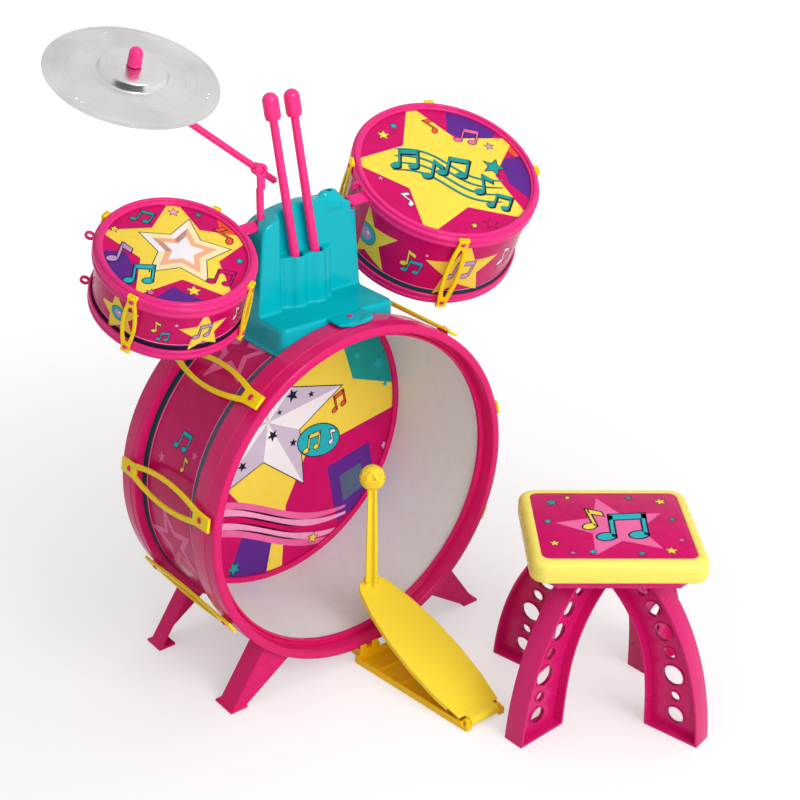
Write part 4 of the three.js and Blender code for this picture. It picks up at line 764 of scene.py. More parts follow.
def addTab(bm, tom, play=0.0, edge=0.6):  # the tab that hooks a tom in the stand; grown by its play, its slot
    f = tomForm
    side = tom["place"] @ spin(tom["tab"], "Z")
    start, end = tom["radius"] - f["wall"] + 0.2, tom["radius"] + f["tabReach"] + play
    half, thick, top = f["tabHalf"] + play, f["tabThickness"] + 2 * play, play - f["tabDrop"]
    block(bm, (start, -half, top - thick), (end, half, top), side, edge)
    block(bm, (end - thick, -half, top - f["tabLip"] - 2 * play), (end, half, top), side, edge)


def makeTom(side, tom):
    r, depth, f = tom["radius"], tom["depth"], tomForm
    top, wall = -f["headDrop"] - fitGap, r - f["wall"]
    place = axisPlace(f"{side}_tom_head") @ shift(0, 0, f["headThickness"] - top)
    tom.update(place=place, headTop=top, headRadius=r - f["rimWidth"], shellRadius=wall - f["shellWall"])
    lower = place @ shift(0, 0, -depth) @ flip
    for label, node, at, sign, trim in (("TopHoop", "top_hoop", place, 1, 0),
                                        ("BottomHoop", "bottom_hoop", lower, -1, f["lowerTrim"])):
        bm = working()
        lathe(bm, tomHoopProfile(r - trim), f["segments"], at)
        for angle in tom["straps"]:
            addPin(bm, at, tomStrap, r, sign * angle, -tomStrap["holeInset"])
        addEyelet(bm, at, r, sign * tom["eyelet"])
        if at is place:
            addTab(bm, tom)
        newPiece(f"{side}Tom{label}", bm, "kit", *looks["tomHoop"], (f"{side}_tom_{node}",), 50)
    makeHead(f"{side}TomHead", f"{side}_tom_head", place, wall - fitGap, top, f["headThickness"],
             tom["headRadius"])
    makeShell(f"{side}TomShell", f"{side}_tom_shell", place, tom["shellRadius"], f["shellWall"],
              -depth + f["headDrop"] + fitGap, top - f["headThickness"] - fitGap, f["segments"])
    makeStraps(f"{side}_tom", place, tom["strap"], r, depth, tom["straps"])


for side, tom in toms.items():
    makeTom(side, tom)
print("drum kit: toms made")

cymbal = {
    "radius": 79.8, "thickness": 0.9, "bellRadius": 33, "bellTop": 28.8, "bellRise": 7.5, "coneRise": 4,
    "lip": 3.2, "hole": 3.6, "slotAngles": [79, 199, 319], "slotInset": 11, "slotApart": 3, "slotTurn": 35,
}
bellCurve = ((0.0, 0.03), (0.12, 0.10), (0.3, 0.28), (0.5, 0.5), (0.7, 0.72), (0.88, 0.9), (1.05, 0.965),
             (1.35, 0.985))  # share of the way in from the bell's foot, share of its rise
cymbalPlace = axisPlace("cymbal") @ shift(0, 0, cymbal["thickness"])


def makeCymbal():
    c = cymbal
    r, t, cone, hole, bell = c["radius"], c["thickness"], c["coneRise"], c["hole"], c["bellRadius"]
    top, lip = cone + c["bellRise"], r - c["lip"]
    upper = [(r - 0.3, -t / 2), (r - 0.4, 0.35), (r - 1.2, 0.75), (r - 2.2, 0.75), (lip, 0.2), (lip - 1, 0.3),
             (lip - 2, 0.8)]
    for a in shares(8):
        upper.append((lip - 3 + (bell + 2 - lip + 3) * a, 1.1 + (cone - 1.1) * (a * 0.8 + 0.2 * a * a)))
    upper += [(bell + (c["bellTop"] - bell) * share, cone + (top - cone) * rise) for share, rise in bellCurve]
    upper += [(20, top - 0.05), (12, top), (hole + 0.4, top), (hole, top - 0.1)]
    lower = [(x, min(z, top) - t) for x, z in upper[4:-1]][::-1]
    bm, cutters = working(), working()
    lathe(bm, upper + [(hole, top - t)] + lower + [(r - 1.6, -t)], 180, cymbalPlace)
    for angle in c["slotAngles"]:
        for sign in (-1, 1):
            at = cymbalPlace @ spin(angle, "Z") @ shift(
                r - c["slotInset"], sign * c["slotApart"], 0) @ spin(sign * c["slotTurn"], "Z")
            plate(cutters, roundedRectangle(1, 1.7, 0.8, 3), -4, 4, at)
    mesh = carve(meshFrom(bm, "cymbalDisc"), meshFrom(cutters, "slotCutters"))
    axis = (cymbalPlace.to_3x3() @ Vector((0, 0, 1))).normalized()
    steel = metal("cymbalSteel", (0.74, 0.73, 0.72), (0.54, 0.535, 0.53), Centre=cymbalPlace.translation,
                  Axis=axis, Gloss=0.26, Rings=700.0)
    mesh.materials.clear()
    newPiece("cymbalDisc", mesh, "cymbal_body", "cymbal_steel", [steel], ("cymbal",), 40)


def makeCap():
    r, length, foot = 6.3, 18, cymbal["coneRise"] + cymbal["bellRise"] + 2 * fitGap
    profile = [(0, foot + length)]
    for a in (pi / 2 * (1 - k / 9) for k in range(1, 10)):
        profile.append((r * cos(a), foot + length - r + r * sin(a)))
    profile += [(r, foot + 5.4), (r - 0.5, foot + 5.0), (r - 0.5, foot + 4.4), (r + 0.3, foot + 4.0),
                (r + 0.3, foot + 0.5), (r - 0.1, foot), (0, foot)]
    bm = working()
    latheOnAxis(bm, profile, 48, cymbalPlace)
    newPiece("cymbalCap", bm, "cymbal_arm_body", *looks["stick"], ("cymbal_cap",), 45)


makeCymbal()
makeCap()
softForm("cymbalRod", "cymbal_rod", "cymbal_rod_body", "stick", 0.42, 9, 0.3)
softForm("cymbalArm", "cymbal_arm", "cymbal_arm_body", "stick", 0.42, 4)


def makeDrumstick(side, body):
    length, butt, neck, head, headLength, lean = 196, 5, 4.2, 8.1, 28, -9
    start = length - headLength
    profile = [(0, 0), (butt - 1, 0), (butt - 0.3, 0.4), (butt, 1.4), (neck, start),
               (head - 2.6, start + 0.6), (head - 0.9, start + 1.6), (head, start + 4.5), (head, start + 10)]
    for a in (pi / 2 * k / 10 for k in range(10)):
        profile.append((head * cos(a), length - head + head * sin(a)))
    bm = working()
    points = [v.co for v in nodes[f"drumstick_{side}"].data.vertices]
    latheOnAxis(bm, [(0, length)] + profile[::-1], 48, footPlace(points, spin(lean, "Y").to_3x3()))
    newPiece(f"drumstick{side.capitalize()}", bm, body, *looks["stick"], (f"drumstick_{side}",), 40)


makeDrumstick("left", "left_stick")
makeDrumstick("right", "right_stick")
print("drum kit: cymbal and sticks made")

stand = {  # from the stand's middle, the near hoop's face and the tray's top
    "shift": -3, "half": 70.5, "front": 41, "back": 148.5, "rise": 3.8, "towerFront": 98, "towerBack": 117,
    "columnFront": 83, "columnRight": -39.5, "shoulderHalf": 64, "shoulder": 81.7, "top": 97.7, "crown": 14,
    "foot": -45, "tubes": [-18.5, 6.5], "tubeY": 90.3, "tubeTop": 54.7, "tubeBore": 7.3, "tubeWall": 2.4,
    "tubeDepth": 25, "blockFront": 86, "blockHalf": 34, "rodX": -52, "rodY": 103, "rodBore": 4.3,
    "rodDepth": 60, "spareX": 34, "spareY": 106.5, "tabTip": 14.5, "tabMiddle": 6, "tabHalf": 22,
    "tabTop": -0.3, "tabThick": 2.4, "flange": 25, "flangeThick": 2.6,
}
standPlace = bassPlace @ spin(-90, "X") @ shift(stand["shift"], 0, bass["hoopRadius"] + stand["rise"])
drumInStand = shift(-stand["shift"], 0, -stand["rise"] - bass["hoopRadius"]) @ upright


def towerMesh():  # its front outline and its plan, each carried through, and what the two share
    s = stand
    shoulder, top, foot, half, back = s["shoulderHalf"], s["top"], s["foot"], s["half"], s["towerBack"]
    face = [(-half, foot), (half, foot), (half, 0), (shoulder, s["shoulder"])]
    face += quadratic(face[-1], (shoulder - 1, top - 4), (shoulder - 17, top))
    face += quadratic(face[-1], (0, top + s["crown"]), (17 - shoulder, top), 14)
    face += quadratic(face[-1], (1 - shoulder, top - 4), (-shoulder, s["shoulder"])) + [(-half, 0)]
    front, column, right = s["towerFront"], s["columnFront"], s["columnRight"]
    plan = [(-half, column + 2), (2 - half, column), (right - 9, column)]
    plan += quadratic(plan[-1], (right, column), (right, column + 8))
    plan += quadratic(plan[-1], (right + 1, front), (right + 9, front))
    plan += [(half + 4, front), (half + 4, back), (6 - half, back)]
    plan += quadratic(plan[-1], (-half, back), (-half, back - 8))
    faceForm, planForm = working(), working()
    plate(faceForm, face, -back - 5, 5 - column, upright)
    plate(planForm, plan, foot - 5, top + s["crown"])
    return carve(meshFrom(faceForm, "tower"), meshFrom(planForm, "tower"), "INTERSECT")


def tubePlan():
    s = stand
    left, right = s["tubes"]
    bulge, middle = s["tubeBore"] + s["tubeWall"], (left + right) / 2
    front, back = s["blockFront"], s["towerFront"] + 3
    points = [(middle - s["blockHalf"], back)]
    points += quadratic(points[-1], (middle - s["blockHalf"], front), (left - bulge, front))
    points += arc(left, s["tubeY"], bulge, 200, 310) + [(middle, front)]
    points += arc(right, s["tubeY"], bulge, 230, 340)
    return points + quadratic(points[-1], (middle + s["blockHalf"], front), (middle + s["blockHalf"], back))


def hookTab(bm):  # the tab over the near hoop: one corner square, the other a raised round lobe
    s = stand
    middle, tip, inner = s["tabMiddle"], s["tabTip"], s["front"] + 4
    left, right = middle - s["tabHalf"], middle + s["tabHalf"]
    low, high = s["tabTop"] - s["tabThick"], s["tabTop"]
    outline = [(left, inner), (left, tip + 7), (left + 10, tip), (middle + 3, tip)]
    outline += quadratic(outline[-1], (right, tip), (right, tip + 14), 10) + [(right, inner)]
    plate(bm, outline, low, high, unmoved, 0.6)
    lobe = [(middle, tip + 0.6)]
    lobe += quadratic(lobe[-1], (right - 0.6, tip + 0.6), (right - 0.6, tip + 14), 10)
    lobe += quadratic(lobe[-1], (middle + 9, tip + 13), (middle, tip + 0.6), 10)[:-1]
    plate(bm, lobe, low + 0.4, high + 1.3, unmoved, 0.8, 3)


def joined(mesh, other):  # puts one mesh into another
    bm = working(mesh, other)
    bm.to_mesh(mesh)
    bm.free()
    return mesh


def makeStand():
    s = stand
    bm, tools, slots, extras = (working() for _ in range(4))
    tray = roundedRectangle(s["half"], (s["back"] - s["front"]) / 2, 8, 6)
    plate(bm, moved(tray, 0, (s["front"] + s["back"]) / 2), s["foot"], 0, unmoved, 2.5)
    plate(bm, tubePlan(), s["foot"], s["tubeTop"], unmoved, 0.6)
    mound = [(0, 90), (15, 90), (13.5, 99), (10, 103), (8, 106), (7.2, 108.4), (0, 108.4)]
    latheOnAxis(bm, mound[::-1], 40, shift(s["spareX"], s["spareY"], 0) @ Matrix.Diagonal((1.35, 0.72, 1, 1)))
    mesh = soften(joined(meshFrom(bm, "standBody"), towerMesh()), 1.15, 26, 0.35)

    saddle = bass["shellRadius"] + fitGap  # the drum's own form and the bores, cut out of the stand
    latheOnAxis(tools, [(0, 200), (saddle, 200), (saddle, -20), (0, -20)], 192, drumInStand @ flip)
    tube = (s["tubeY"], s["tubeBore"], s["tubeTop"] + 8, s["tubeDepth"] + 8)
    for x, y, bore, top, depth in ((s["rodX"], s["rodY"], s["rodBore"], s["top"] + 7, s["rodDepth"]),
                                   (s["spareX"], s["spareY"], s["rodBore"], s["top"] + 15, s["rodDepth"]),
                                   (s["tubes"][0], *tube), (s["tubes"][1], *tube)):
        latheOnAxis(tools, [(0, top), (bore, top), (bore, top - depth), (0, top - depth)], 48, shift(x, y, 0))
    mesh = carve(mesh, meshFrom(tools, "bores"))
    mesh.transform(standPlace)
    for tom in toms.values():
        addTab(slots, tom, 0.8, 0.0)
    mesh = carve(mesh, meshFrom(slots, "slots"), crossed=True)

    hookTab(extras)
    farTab = moved(roundedRectangle(s["tabHalf"], 14, 9, 6), s["tabMiddle"], s["back"] + 8)
    plate(extras, farTab, s["tabTop"] - s["tabThick"], s["tabTop"], unmoved, 0.6)
    start, end = 90 - s["flange"], 90 + s["flange"]
    band = arc(0, 0, saddle + s["flangeThick"], start, end, 30) + arc(0, 0, saddle, end, start, 30)
    plate(extras, band, -s["back"], -s["front"], drumInStand)
    bmesh.ops.transform(extras, matrix=standPlace, verts=extras.verts)
    newPiece("standBody", joined(mesh, meshFrom(extras, "standTabs")), "kit", *looks["stand"], ("stand",), 32)


makeStand()
for node in ("foot_near_right", "foot_near_left", "foot_far_right", "foot_far_left"):
    softForm(node.replace("_", "-"), node, "kit", "foot", 0.7, 5)
softForm("pedalBase", "pedal_base", "kit", "pedalBase", 0.7, 4)
pedal = {
    "x": 27.5, "y": -162, "z": 7, "tilt": 19, "rollHalf": 19, "rollOuter": 5.9, "rollInner": 5.05,
    "leafTop": 3.2, "leafThick": 2.3, "rollEnd": 13.5, "stickAlong": 198.5, "stickHeight": 133, "ball": 14.1,
}
boardPlace = shift(drumX, frontY, 0) @ inMm @ shift(
    pedal["x"], pedal["y"], pedal["z"]) @ spin(pedal["tilt"], "X")


def makeFootboard():  # the heel rolls over the hinge's spring
    p = pedal
    bm = working(copyOf("footboard"))
    roll = arc(0, 0, p["rollOuter"], 205, 62, 16) + [
        (p["rollEnd"], p["leafTop"]), (p["rollEnd"], p["leafTop"] - p["leafThick"])]
    plate(bm, roll + arc(0, 0, p["rollInner"], 62, 205, 16), -p["rollHalf"], p["rollHalf"],
          boardPlace @ turnSide)
    mesh = soften(meshFrom(bm, "footboardLeaf"), 0.45 * mm, 14, 0.25)
    newPiece("footboardLeaf", mesh, "pedal", *looks["footboard"], ("footboard",), 40)


def makeBall():  # a moulded ball with a pocket and slots on each of four faces, cut in shares of its radius
    r, p = pedal["ball"], pedal
    place = (boardPlace @ shift(0, p["stickAlong"], p["leafTop"]) @ spin(-p["tilt"], "X")
             @ shift(0, 0, p["stickHeight"]))
    bm, tools = working(), working()
    latheOnAxis(bm, [(r * sin(pi * k / 40), r * cos(pi * k / 40)) for k in range(41)], 80, place)
    pocket = rounded([(-0.36 * r, -0.08 * r), (0.36 * r, -0.08 * r), (0, 0.5 * r)], [0.06 * r] * 3)
    slot = arc(0, 0.9 * r, 1.14 * r, 246, 294, 8) + arc(0, 0.9 * r, 1.28 * r, 293, 247, 8)
    low = arc(0, 0.9 * r, 1.44 * r, 252, 288, 8) + arc(0, 0.9 * r, 1.56 * r, 287, 253, 8)
    sides = [arc(0, 0, 0.63 * r, a - 40, a + 40, 10) + arc(0, 0, 0.53 * r, a + 38, a - 38, 10)
             for a in (30, 150)]
    for turn in range(0, 360, 90):
        face = place @ spin(turn - 38, "Z") @ spin(-18, "X") @ upright
        for outline, depth in ((pocket, 0.66), (slot, 0.7), (low, 0.6), (sides[0], 0.68), (sides[1], 0.68)):
            plate(tools, outline, depth * r, 1.1 * r, face)
    mesh = soften(carve(meshFrom(bm, "beaterBall"), meshFrom(tools, "pockets")), 0.3 * mm, 3, 0.4)
    newPiece("beaterBall", mesh, "pedal", *looks["footboard"], ("beater_ball",), 40)


makeFootboard()
makeBall()
softForm("beaterStick", "beater_stick", "pedal", "footboard", 0.4, 4)
for node in ("pedal_pin", "pedal_spring"):
    nodes[node].data.materials.clear()
    nodes[node].data.materials.append(springWire)
print("drum kit: stand, feet and pedal made")

stool = {
    "yaw": -38, "width": 177, "depth": 151, "corner": 17, "sideHeight": 23, "round": 7.5, "labelWidth": 155,
    "labelDepth": 129, "labelCorner": 9, "recess": 0.9, "wall": 3,
}
seatLow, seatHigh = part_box("stool_seat")
stoolPlace = shift((seatLow.x + seatHigh.x) / 2, (seatLow.y + seatHigh.y) / 2, seatHigh.z) @ spin(
    stool["yaw"], "Z") @ inMm


def makeSeat():
    s = stool
    label, body, big, wall, skirt = s["labelCorner"], s["corner"], s["round"], s["wall"], -s["sideHeight"]
    levels = []

    def add(*rows, halves=(s["width"] / 2, s["depth"] / 2)):  # each row: inset, corner radius, height
        for inset, radius, z in rows:
            levels.append((roundedRectangle(halves[0] - inset, halves[1] - inset, radius, 12), z))

    add((0.05, label, -s["recess"]), (0, label, -0.25), (-0.3, label + 0.3, 0),
        halves=(s["labelWidth"] / 2, s["labelDepth"] / 2))
    for a in (pi / 2 * k / 8 for k in range(9)):  # the round of the top's edge
        inset = big * (1 - sin(a))
        add((inset, body - inset * 0.5, -big * (1 - cos(a))))
    # the parting groove
    add((0, body, -11.5), (0.7, body - 0.5, -12), (0.7, body - 0.5, -12.6), (0, body, -13.1))
    add((0, body, skirt + 2.4), (0.6, body - 0.5, skirt + 1.0), (1.8, body - 1, skirt),
        (wall + 2, body - 4, skirt), (wall + 3, body - 5, skirt + 2),
        (wall + 3, body - 5, -s["recess"] - wall))
    bm = working()
    stack(bm, levels, stoolPlace)
    newPiece("stoolSeat", bm, "stool", *looks["seat"], ("stool_seat",), 45)


def makeLabel():
    s = stool
    bm = working()
    outline = roundedRectangle(s["labelWidth"] / 2 - 0.3, s["labelDepth"] / 2 - 0.3, s["labelCorner"], 12)
    plate(bm, outline, fitGap - s["recess"], -0.2, stoolPlace, 0.2)
    newPiece("stoolLabel", bm, "stool", *looks["label"], ("stool_label",), 30)


makeSeat()
makeLabel()
leg = {
    "footOuter": 128, "footInner": 66, "width": 24, "wall": 2.6, "web": 2.6, "archTop": 156,
    "shoulder": (60, 168), "hip": (105, 125), "knee": (124, 60), "top": 192.8,
    "holes": [9.5, 5.5, 11.5, 6.5, 10, 8.5, 6.5], "rim": 1.3, "rimHeight": 5.2, "plateX": 81.9,
    "plateY": 68.9, "plateFoot": 178.5, "plateTop": 194.3, "chamfer": 21, "parting": 0.15,
}


def legCurves(i):  # the arch's outer and inner edge, taken in by i: s runs outwards, z up
    g = leg
    top, inner = g["archTop"], g["footInner"] + i
    (hipX, hipZ), (shoulderX, shoulderZ) = g["hip"], g["shoulder"]
    return (cubic((g["footOuter"] - i, i), (g["knee"][0] - i, g["knee"][1]), (hipX - i, hipZ - i),
                  (shoulderX - i, shoulderZ - i)),
            cubic((i / 2, top + i), (inner, 0.72 * top), (inner - 4, 0.31 * top), (inner, i)))


def legOutline(i):
    outer, inner = legCurves(i)
    return outer + [(leg["shoulder"][0] - 14 - i, leg["top"] - i), (i / 2, leg["top"] - i)] + inner


def legHoles():  # holes of mixed sizes, one after another down the middle of the web
    outer, inner = legCurves(0)
    line = [((a[0] + b[0]) / 2, (a[1] + b[1]) / 2) for a, b in zip(outer, inner[::-1])]
    lengths = [dist(a, b) for a, b in zip(line, line[1:])]
    space = (sum(lengths) - 2 * sum(leg["holes"]) - 6) / (len(leg["holes"]) + 1)
    along, holes = 3.0, []
    for radius in leg["holes"]:
        along += space + radius
        left, k = along, 0
        while left > lengths[k]:
            left -= lengths[k]
            k += 1
        (ax, az), (bx, bz) = line[k], line[k + 1]
        t = left / lengths[k]
        holes.append((ax + (bx - ax) * t, az + (bz - az) * t, radius))
        along += radius
    return holes


def legMesh():  # the leg of one corner, the stool's middle at the origin on the floor
    g = leg
    archPlace = Matrix.Rotation(atan2(stool["depth"], stool["width"]), 4, "Z") @ upright
    low, top, w = g["parting"], g["plateTop"], g["wall"]
    holes = legHoles()
    web = [legOutline(w / 2)] + [oval(x, z, r, r, steps=40)[::-1] for x, z, r in holes]
    whole = working()
    for outlines, half, edge in (([legOutline(0), legOutline(w)[::-1]], g["width"] / 2, 0.5),
                                 (web, g["web"] / 2, 0.2)):
        quarter = working()
        block(quarter, (low, low, -1), (200, 200, top + 1))
        sheet = cutSheet("leg", outlines, -half, half, archPlace, edge)
        mesh = carve(meshFrom(sheet, "sheet"), meshFrom(quarter, "quarter"), "INTERSECT")
        whole.from_mesh(mesh)
        bpy.data.meshes.remove(mesh)
    half = g["rimHeight"] / 2
    for x, z, r in holes:
        ring = rounded(rectangle(r, -half, r + g["rim"], half), [0.4] * 4, 2)
        lathe(whole, ring, 40, archPlace @ shift(x, z, 0))
    x, y, c = g["plateX"], g["plateY"], g["chamfer"]
    inner = c - 0.6 * w
    outer = [(x, low), (x, y - c), (x - c, y), (low, y)]
    rim = outer + [(low, y - w), (x - w - inner, y - w), (x - w, y - w - inner), (x - w, low)]
    plate(whole, rim, g["plateFoot"], top, unmoved, 0.5)
    plate(whole, [(low, low)] + outer, top - 3, top, unmoved, 0.5)
    return faceOutward(meshFrom(whole, "stoolLeg"))


def makeLegs():
    first = legMesh()
    floorPlace = stoolPlace @ shift(0, 0, -seatHigh.z / mm)
    for end, side, signX, signY in (("Front", "Left", -1, -1), ("Front", "Right", 1, -1),
                                    ("Back", "Right", 1, 1), ("Back", "Left", -1, 1)):
        mesh = first.copy()
        mesh.transform(floorPlace @ Matrix.Diagonal((signX, signY, 1, 1)))
        if signX != signY:
            mesh.flip_normals()
        newPiece(f"stoolLeg{end}{side}", mesh, "stool", *looks["leg"], (f"stool_leg_{end}_{side}".lower(),), 40)
    bpy.data.meshes.remove(first)


makeLegs()
print("drum kit: stool made")


# a design is a list of shapes in millimetres: points, ink, and the layer it lies in


def stars(rows, colour, level, inner):  # rows: x, y, size, turn
    return [(star(*row, inner=inner), colour, level) for row in rows]


def edgedStar(x, y, size, turn, colour, level, width, edge="navy", inner=0.45):
    form = star(x, y, size, turn, inner)
    return [(grown(form, width), edge, level), (form, colour, level + 1)]


def edgedStars(rows, level, width):  # rows: x, y, size, turn, ink
    return [shape for row in rows for shape in edgedStar(*row, level, width)]


def notes(kind, x, y, size, turn, colour, level=4, width=1.0):
    parts = [moved(p, x, y, turn, size) for p in noteForms[kind]]
    return [(grown(p, width), "navy", level) for p in parts] + [(p, colour, level + 1) for p in parts]


def bands(radius, rows):  # straight bands all round a wall; rows: y from, y to, ink
    reach = pi * radius
    return [(rectangle(-reach, y0, reach, y1), colour, 1) for y0, y1, colour in rows]


def bassHeadDesign():
    shapes = [
        ([(66, 190), (200, 190), (200, 10), (112, 42)], "teal", 0),
        ([(-200, 190), (-60, 190), (-96, 60), (-200, 40)], "magenta", 0),
        ([(-200, -26), (-92, -8), (-36, -86), (-86, -200), (-200, -200)], "magenta", 0),
        ([(44, -34), (196, -8), (196, -200), (4, -200), (14, -92)], "magenta", 0),
        ([(74, -62), (136, -48), (148, -116), (88, -142)], "purple", 1),
        ([(92, -80), (124, -72), (130, -104), (98, -116)], "slate", 2),
        ([(-86, -200), (-36, -86), (-4, -120), (-22, -200)], "purple", 1),
        ([(-200, 40), (-96, 60), (-120, 20), (-200, 4)], "orange", 1),
    ]
    shapes += stars(((104, 128, 9, 10), (136, 92, 7, -15), (150, 52, 8, 25), (90, 160, 5, 0),
                     (118, 70, 5, 30), (160, 22, 5, 5), (130, 142, 4, 40)), "aqua", 1, 0.45)
    for k, colour in enumerate(("pink", "lightPink", "magenta", "lightPink", "pink")):  # a ribbon of stripes
        shapes.append((waveBand(-128, -66 - 9 * k, 236, 15, 10.5, 0.8, -12, 0.1), colour, 2))
    shapes += edgedStar(-8, 22, 104, -9, "white", 3, 1.3, inner=0.46)
    shapes += starFacets(-8, 22, 104, -9, 0.46, "shade", 5)
    shapes += stars(((-10, 78, 8, 8), (-34, 26, 7, -20), (26, 46, 9, 14), (-2, 4, 8, 30), (52, 40, 5, 0),
                     (-66, 46, 6, 12), (-44, -22, 7, 18), (26, -14, 6, -10), (8, 30, 4, 0), (-20, 50, 4, 24)),
                    "navy", 6, 0.42)
    badge = oval(62, -22, 30, 20, -14)
    shapes += [(grown(badge, 1.4), "navy", 6), (badge, "aqua", 7)]
    shapes += notes(2, 54, -22, 22, -6, "yellow", 8, 1.1) + notes(1, 80, -22, 17, 14, "white", 8)
    shapes += notes(2, 92, 20, 20, 12, "orange", 6)
    return shapes + edgedStars((
        (-120, -60, 8, 10, "yellow"), (-140, -20, 5, 0, "lightPink"), (-60, -150, 9, 20, "teal"),
        (52, -150, 7, -15, "yellow"), (160, -60, 6, 12, "lightPink"), (-130, 110, 9, 14, "yellow"),
        (-96, 150, 6, -8, "teal"), (20, 146, 8, 12, "magenta"), (-40, 140, 5, 0, "teal"),
        (56, 120, 6, 30, "magenta")), 4, 0.8)


def starFacets(x, y, outer, turn, inner, colour, level):  # every second facet of a folded-paper star
    tips = star(x, y, outer, turn, inner)
    return [([(x, y), tips[i], tips[i + 1]], colour, level) for i in range(0, 10, 2)]


def leftHeadDesign():
    shapes = [
        (oval(0, 0, 80, 80, 0, 64), "magenta", 0),
        ([(-80, -20), (-46, -12), (-28, -44), (-44, -80), (-80, -80)], "purple", 1),
        ([(-18, -80), (4, -46), (40, -58), (34, -80)], "purple", 1),
        ([(24, 80), (38, 40), (80, 34), (80, 80)], "orange", 1),
        (star(2, 4, 78, 14, 0.5), "yellow", 2),
        *edgedStar(6, 6, 46, 2, "cream", 3, 0.9, inner=0.52),
        (star(6, 6, 33, 2, 0.52), "peach", 5),
        (star(6, 6, 21, 2, 0.52), "white", 6),
    ]
    shapes += starFacets(6, 6, 46, 2, 0.52, "white", 5)[:2]
    for row in ((2, -26, -38, 26, 4, "aqua", 7, 1.1), (1, -52, -14, 27, -4, "lilac", 7, 1.1),
                (1, 40, 40, 22, 62, "orange", 7, 1.0), (2, 48, -20, 22, -8, "magenta", 7, 0.9),
                (2, -38, 42, 18, -14, "teal", 7, 0.9)):
        shapes += notes(*row)
    return shapes + edgedStars((
        (24, -46, 7, 10, "yellow"), (-14, -60, 4, 0, "pink"), (60, 8, 4, 20, "aqua"),
        (-12, 58, 5, 10, "lightPink"), (12, 62, 3.4, 0, "teal"), (-62, 16, 4, 0, "yellow")), 5, 0.6)


def rightHeadDesign():
    shapes = [
        (oval(0, 0, 100, 100, 0, 72), "magenta", 0),
        ([(-6, 100), (-2, 62), (40, 48), (62, 100)], "purple", 1),
        ([(58, 36), (70, 2), (100, -20), (100, 60)], "purple", 1),
        ([(50, 70), (60, 60), (84, 40), (92, 60)], "orange", 1),
        (star(0, 0, 106, 28, 0.52), "yellow", 2),
    ]
    for y in (17, 6, -5, -16):  # waving lines across the middle, with their shadow
        shapes.append((waveBand(-58, y - 1.2, 122, 8, 2.6, 1.0, -6), "navy", 3))
        shapes.append((waveBand(-58, y, 122, 8, 2.6, 1.0, -6), "teal", 4))
    for kind, x, y, size, turn in ((2, -44, 4, 30, 4), (1, -16, -2, 30, -4), (2, 10, 8, 32, -6),
                                   (1, 40, -8, 30, 6), (2, 62, -30, 24, -12)):
        shapes += notes(kind, x + 1.4, y - 1.6, size, turn, "navy", 5, 0.6)
        shapes += notes(kind, x, y, size, turn, "teal", 7, 0.3)
    shapes += notes(1, -22, 66, 20, 60, "orange", 5, 0.9) + notes(2, 22, 62, 24, -8, "pink", 5, 0.9)
    shapes += notes(1, -40, -56, 18, 54, "white", 5, 0.9) + edgedStar(52, 22, 12, -10, "teal", 5, 1.0)
    return shapes + edgedStars((
        (-72, 34, 7, 8, "yellow"), (-62, 52, 4.6, 0, "aqua"), (52, -66, 8, 12, "magenta"),
        (34, -74, 3.6, 0, "yellow"), (46, 54, 5, 20, "lilac"), (-70, -34, 4, 10, "pink")), 3, 0.7)


def tomWrapDesign(radius, low, high, starAngles, marginInk):
    shapes = bands(radius, ((low, low + 5.5, marginInk), (low + 6.4, low + 7.2, "lightPink"),
                            (high - 2.4, high, "slate")))
    middle, tall = (low + high) / 2, high - low
    size = tall * 0.56
    for i, angle in enumerate(starAngles):
        x = radians(angle) * radius
        between = x + radius * radians(33)
        shapes.append((star(x, middle - 2, size, 12 - 9 * i, 0.45), "yellow", 2))
        if i % 2 == 0:
            disc = oval(x, middle, size * 0.3, size * 0.3)
            shapes += [(grown(disc, 0.8), "navy", 3), (disc, "aqua", 4),
                       (oval(x, middle, size * 0.17, size * 0.17), "lilac", 5),
                       (oval(x + size * 0.05, middle + size * 0.06, size * 0.05, size * 0.05), "white", 6)]
        else:
            shapes += notes(2, x, middle - 1, size * 0.62, -8, "lilac", 4, 0.9)
        shapes += notes(1, between - 4, middle + 4, tall * 0.28, 6, "white" if i % 2 else "yellow", 3, 0.7)
        shapes += notes(2, between + 5, middle - 7, tall * 0.24, -6, "pink" if i % 2 else "aqua", 3, 0.7)
        shapes.append((star(between + 15, middle + tall * 0.2, 2.2, 0, 0.45), "lightPink", 3))
    return shapes


def bassWrapDesign(radius, low, high):
    shapes = bands(radius, (
        (low, low + 8, "darkTeal"), (low + 9.4, low + 10.6, "lightPink"), (high - 18, high - 12.6, "slate"),
        (high - 19.6, high - 18.6, "lightPink"), (high - 12, high - 11, "lightPink")))
    middle = (low + high) / 2
    for i, angle in enumerate(range(-168, 192, 36)):
        x, side = radians(angle) * radius, 1 if abs(angle) > 90 else -1  # upright as seen on either flank
        turn = 90 * side
        if i % 2 == 0:
            shapes += [(star(x, middle - 4, 44, turn + 14), "pink", 2),
                       (star(x, middle - 4, 26, turn + 14), "magenta", 3)]
        else:
            shapes += notes(2, x - side * 6, middle + side * 2, 21, turn - 10, "aqua", 3)
            shapes += notes(1, x + side * 14, middle + side * 13, 15, turn + 8, "yellow", 3, 0.9)
            shapes += stars(((x, middle + 26, 5, turn), (x + 22, middle - 26, 7, turn + 20)), "pink", 2, 0.42)
    return shapes


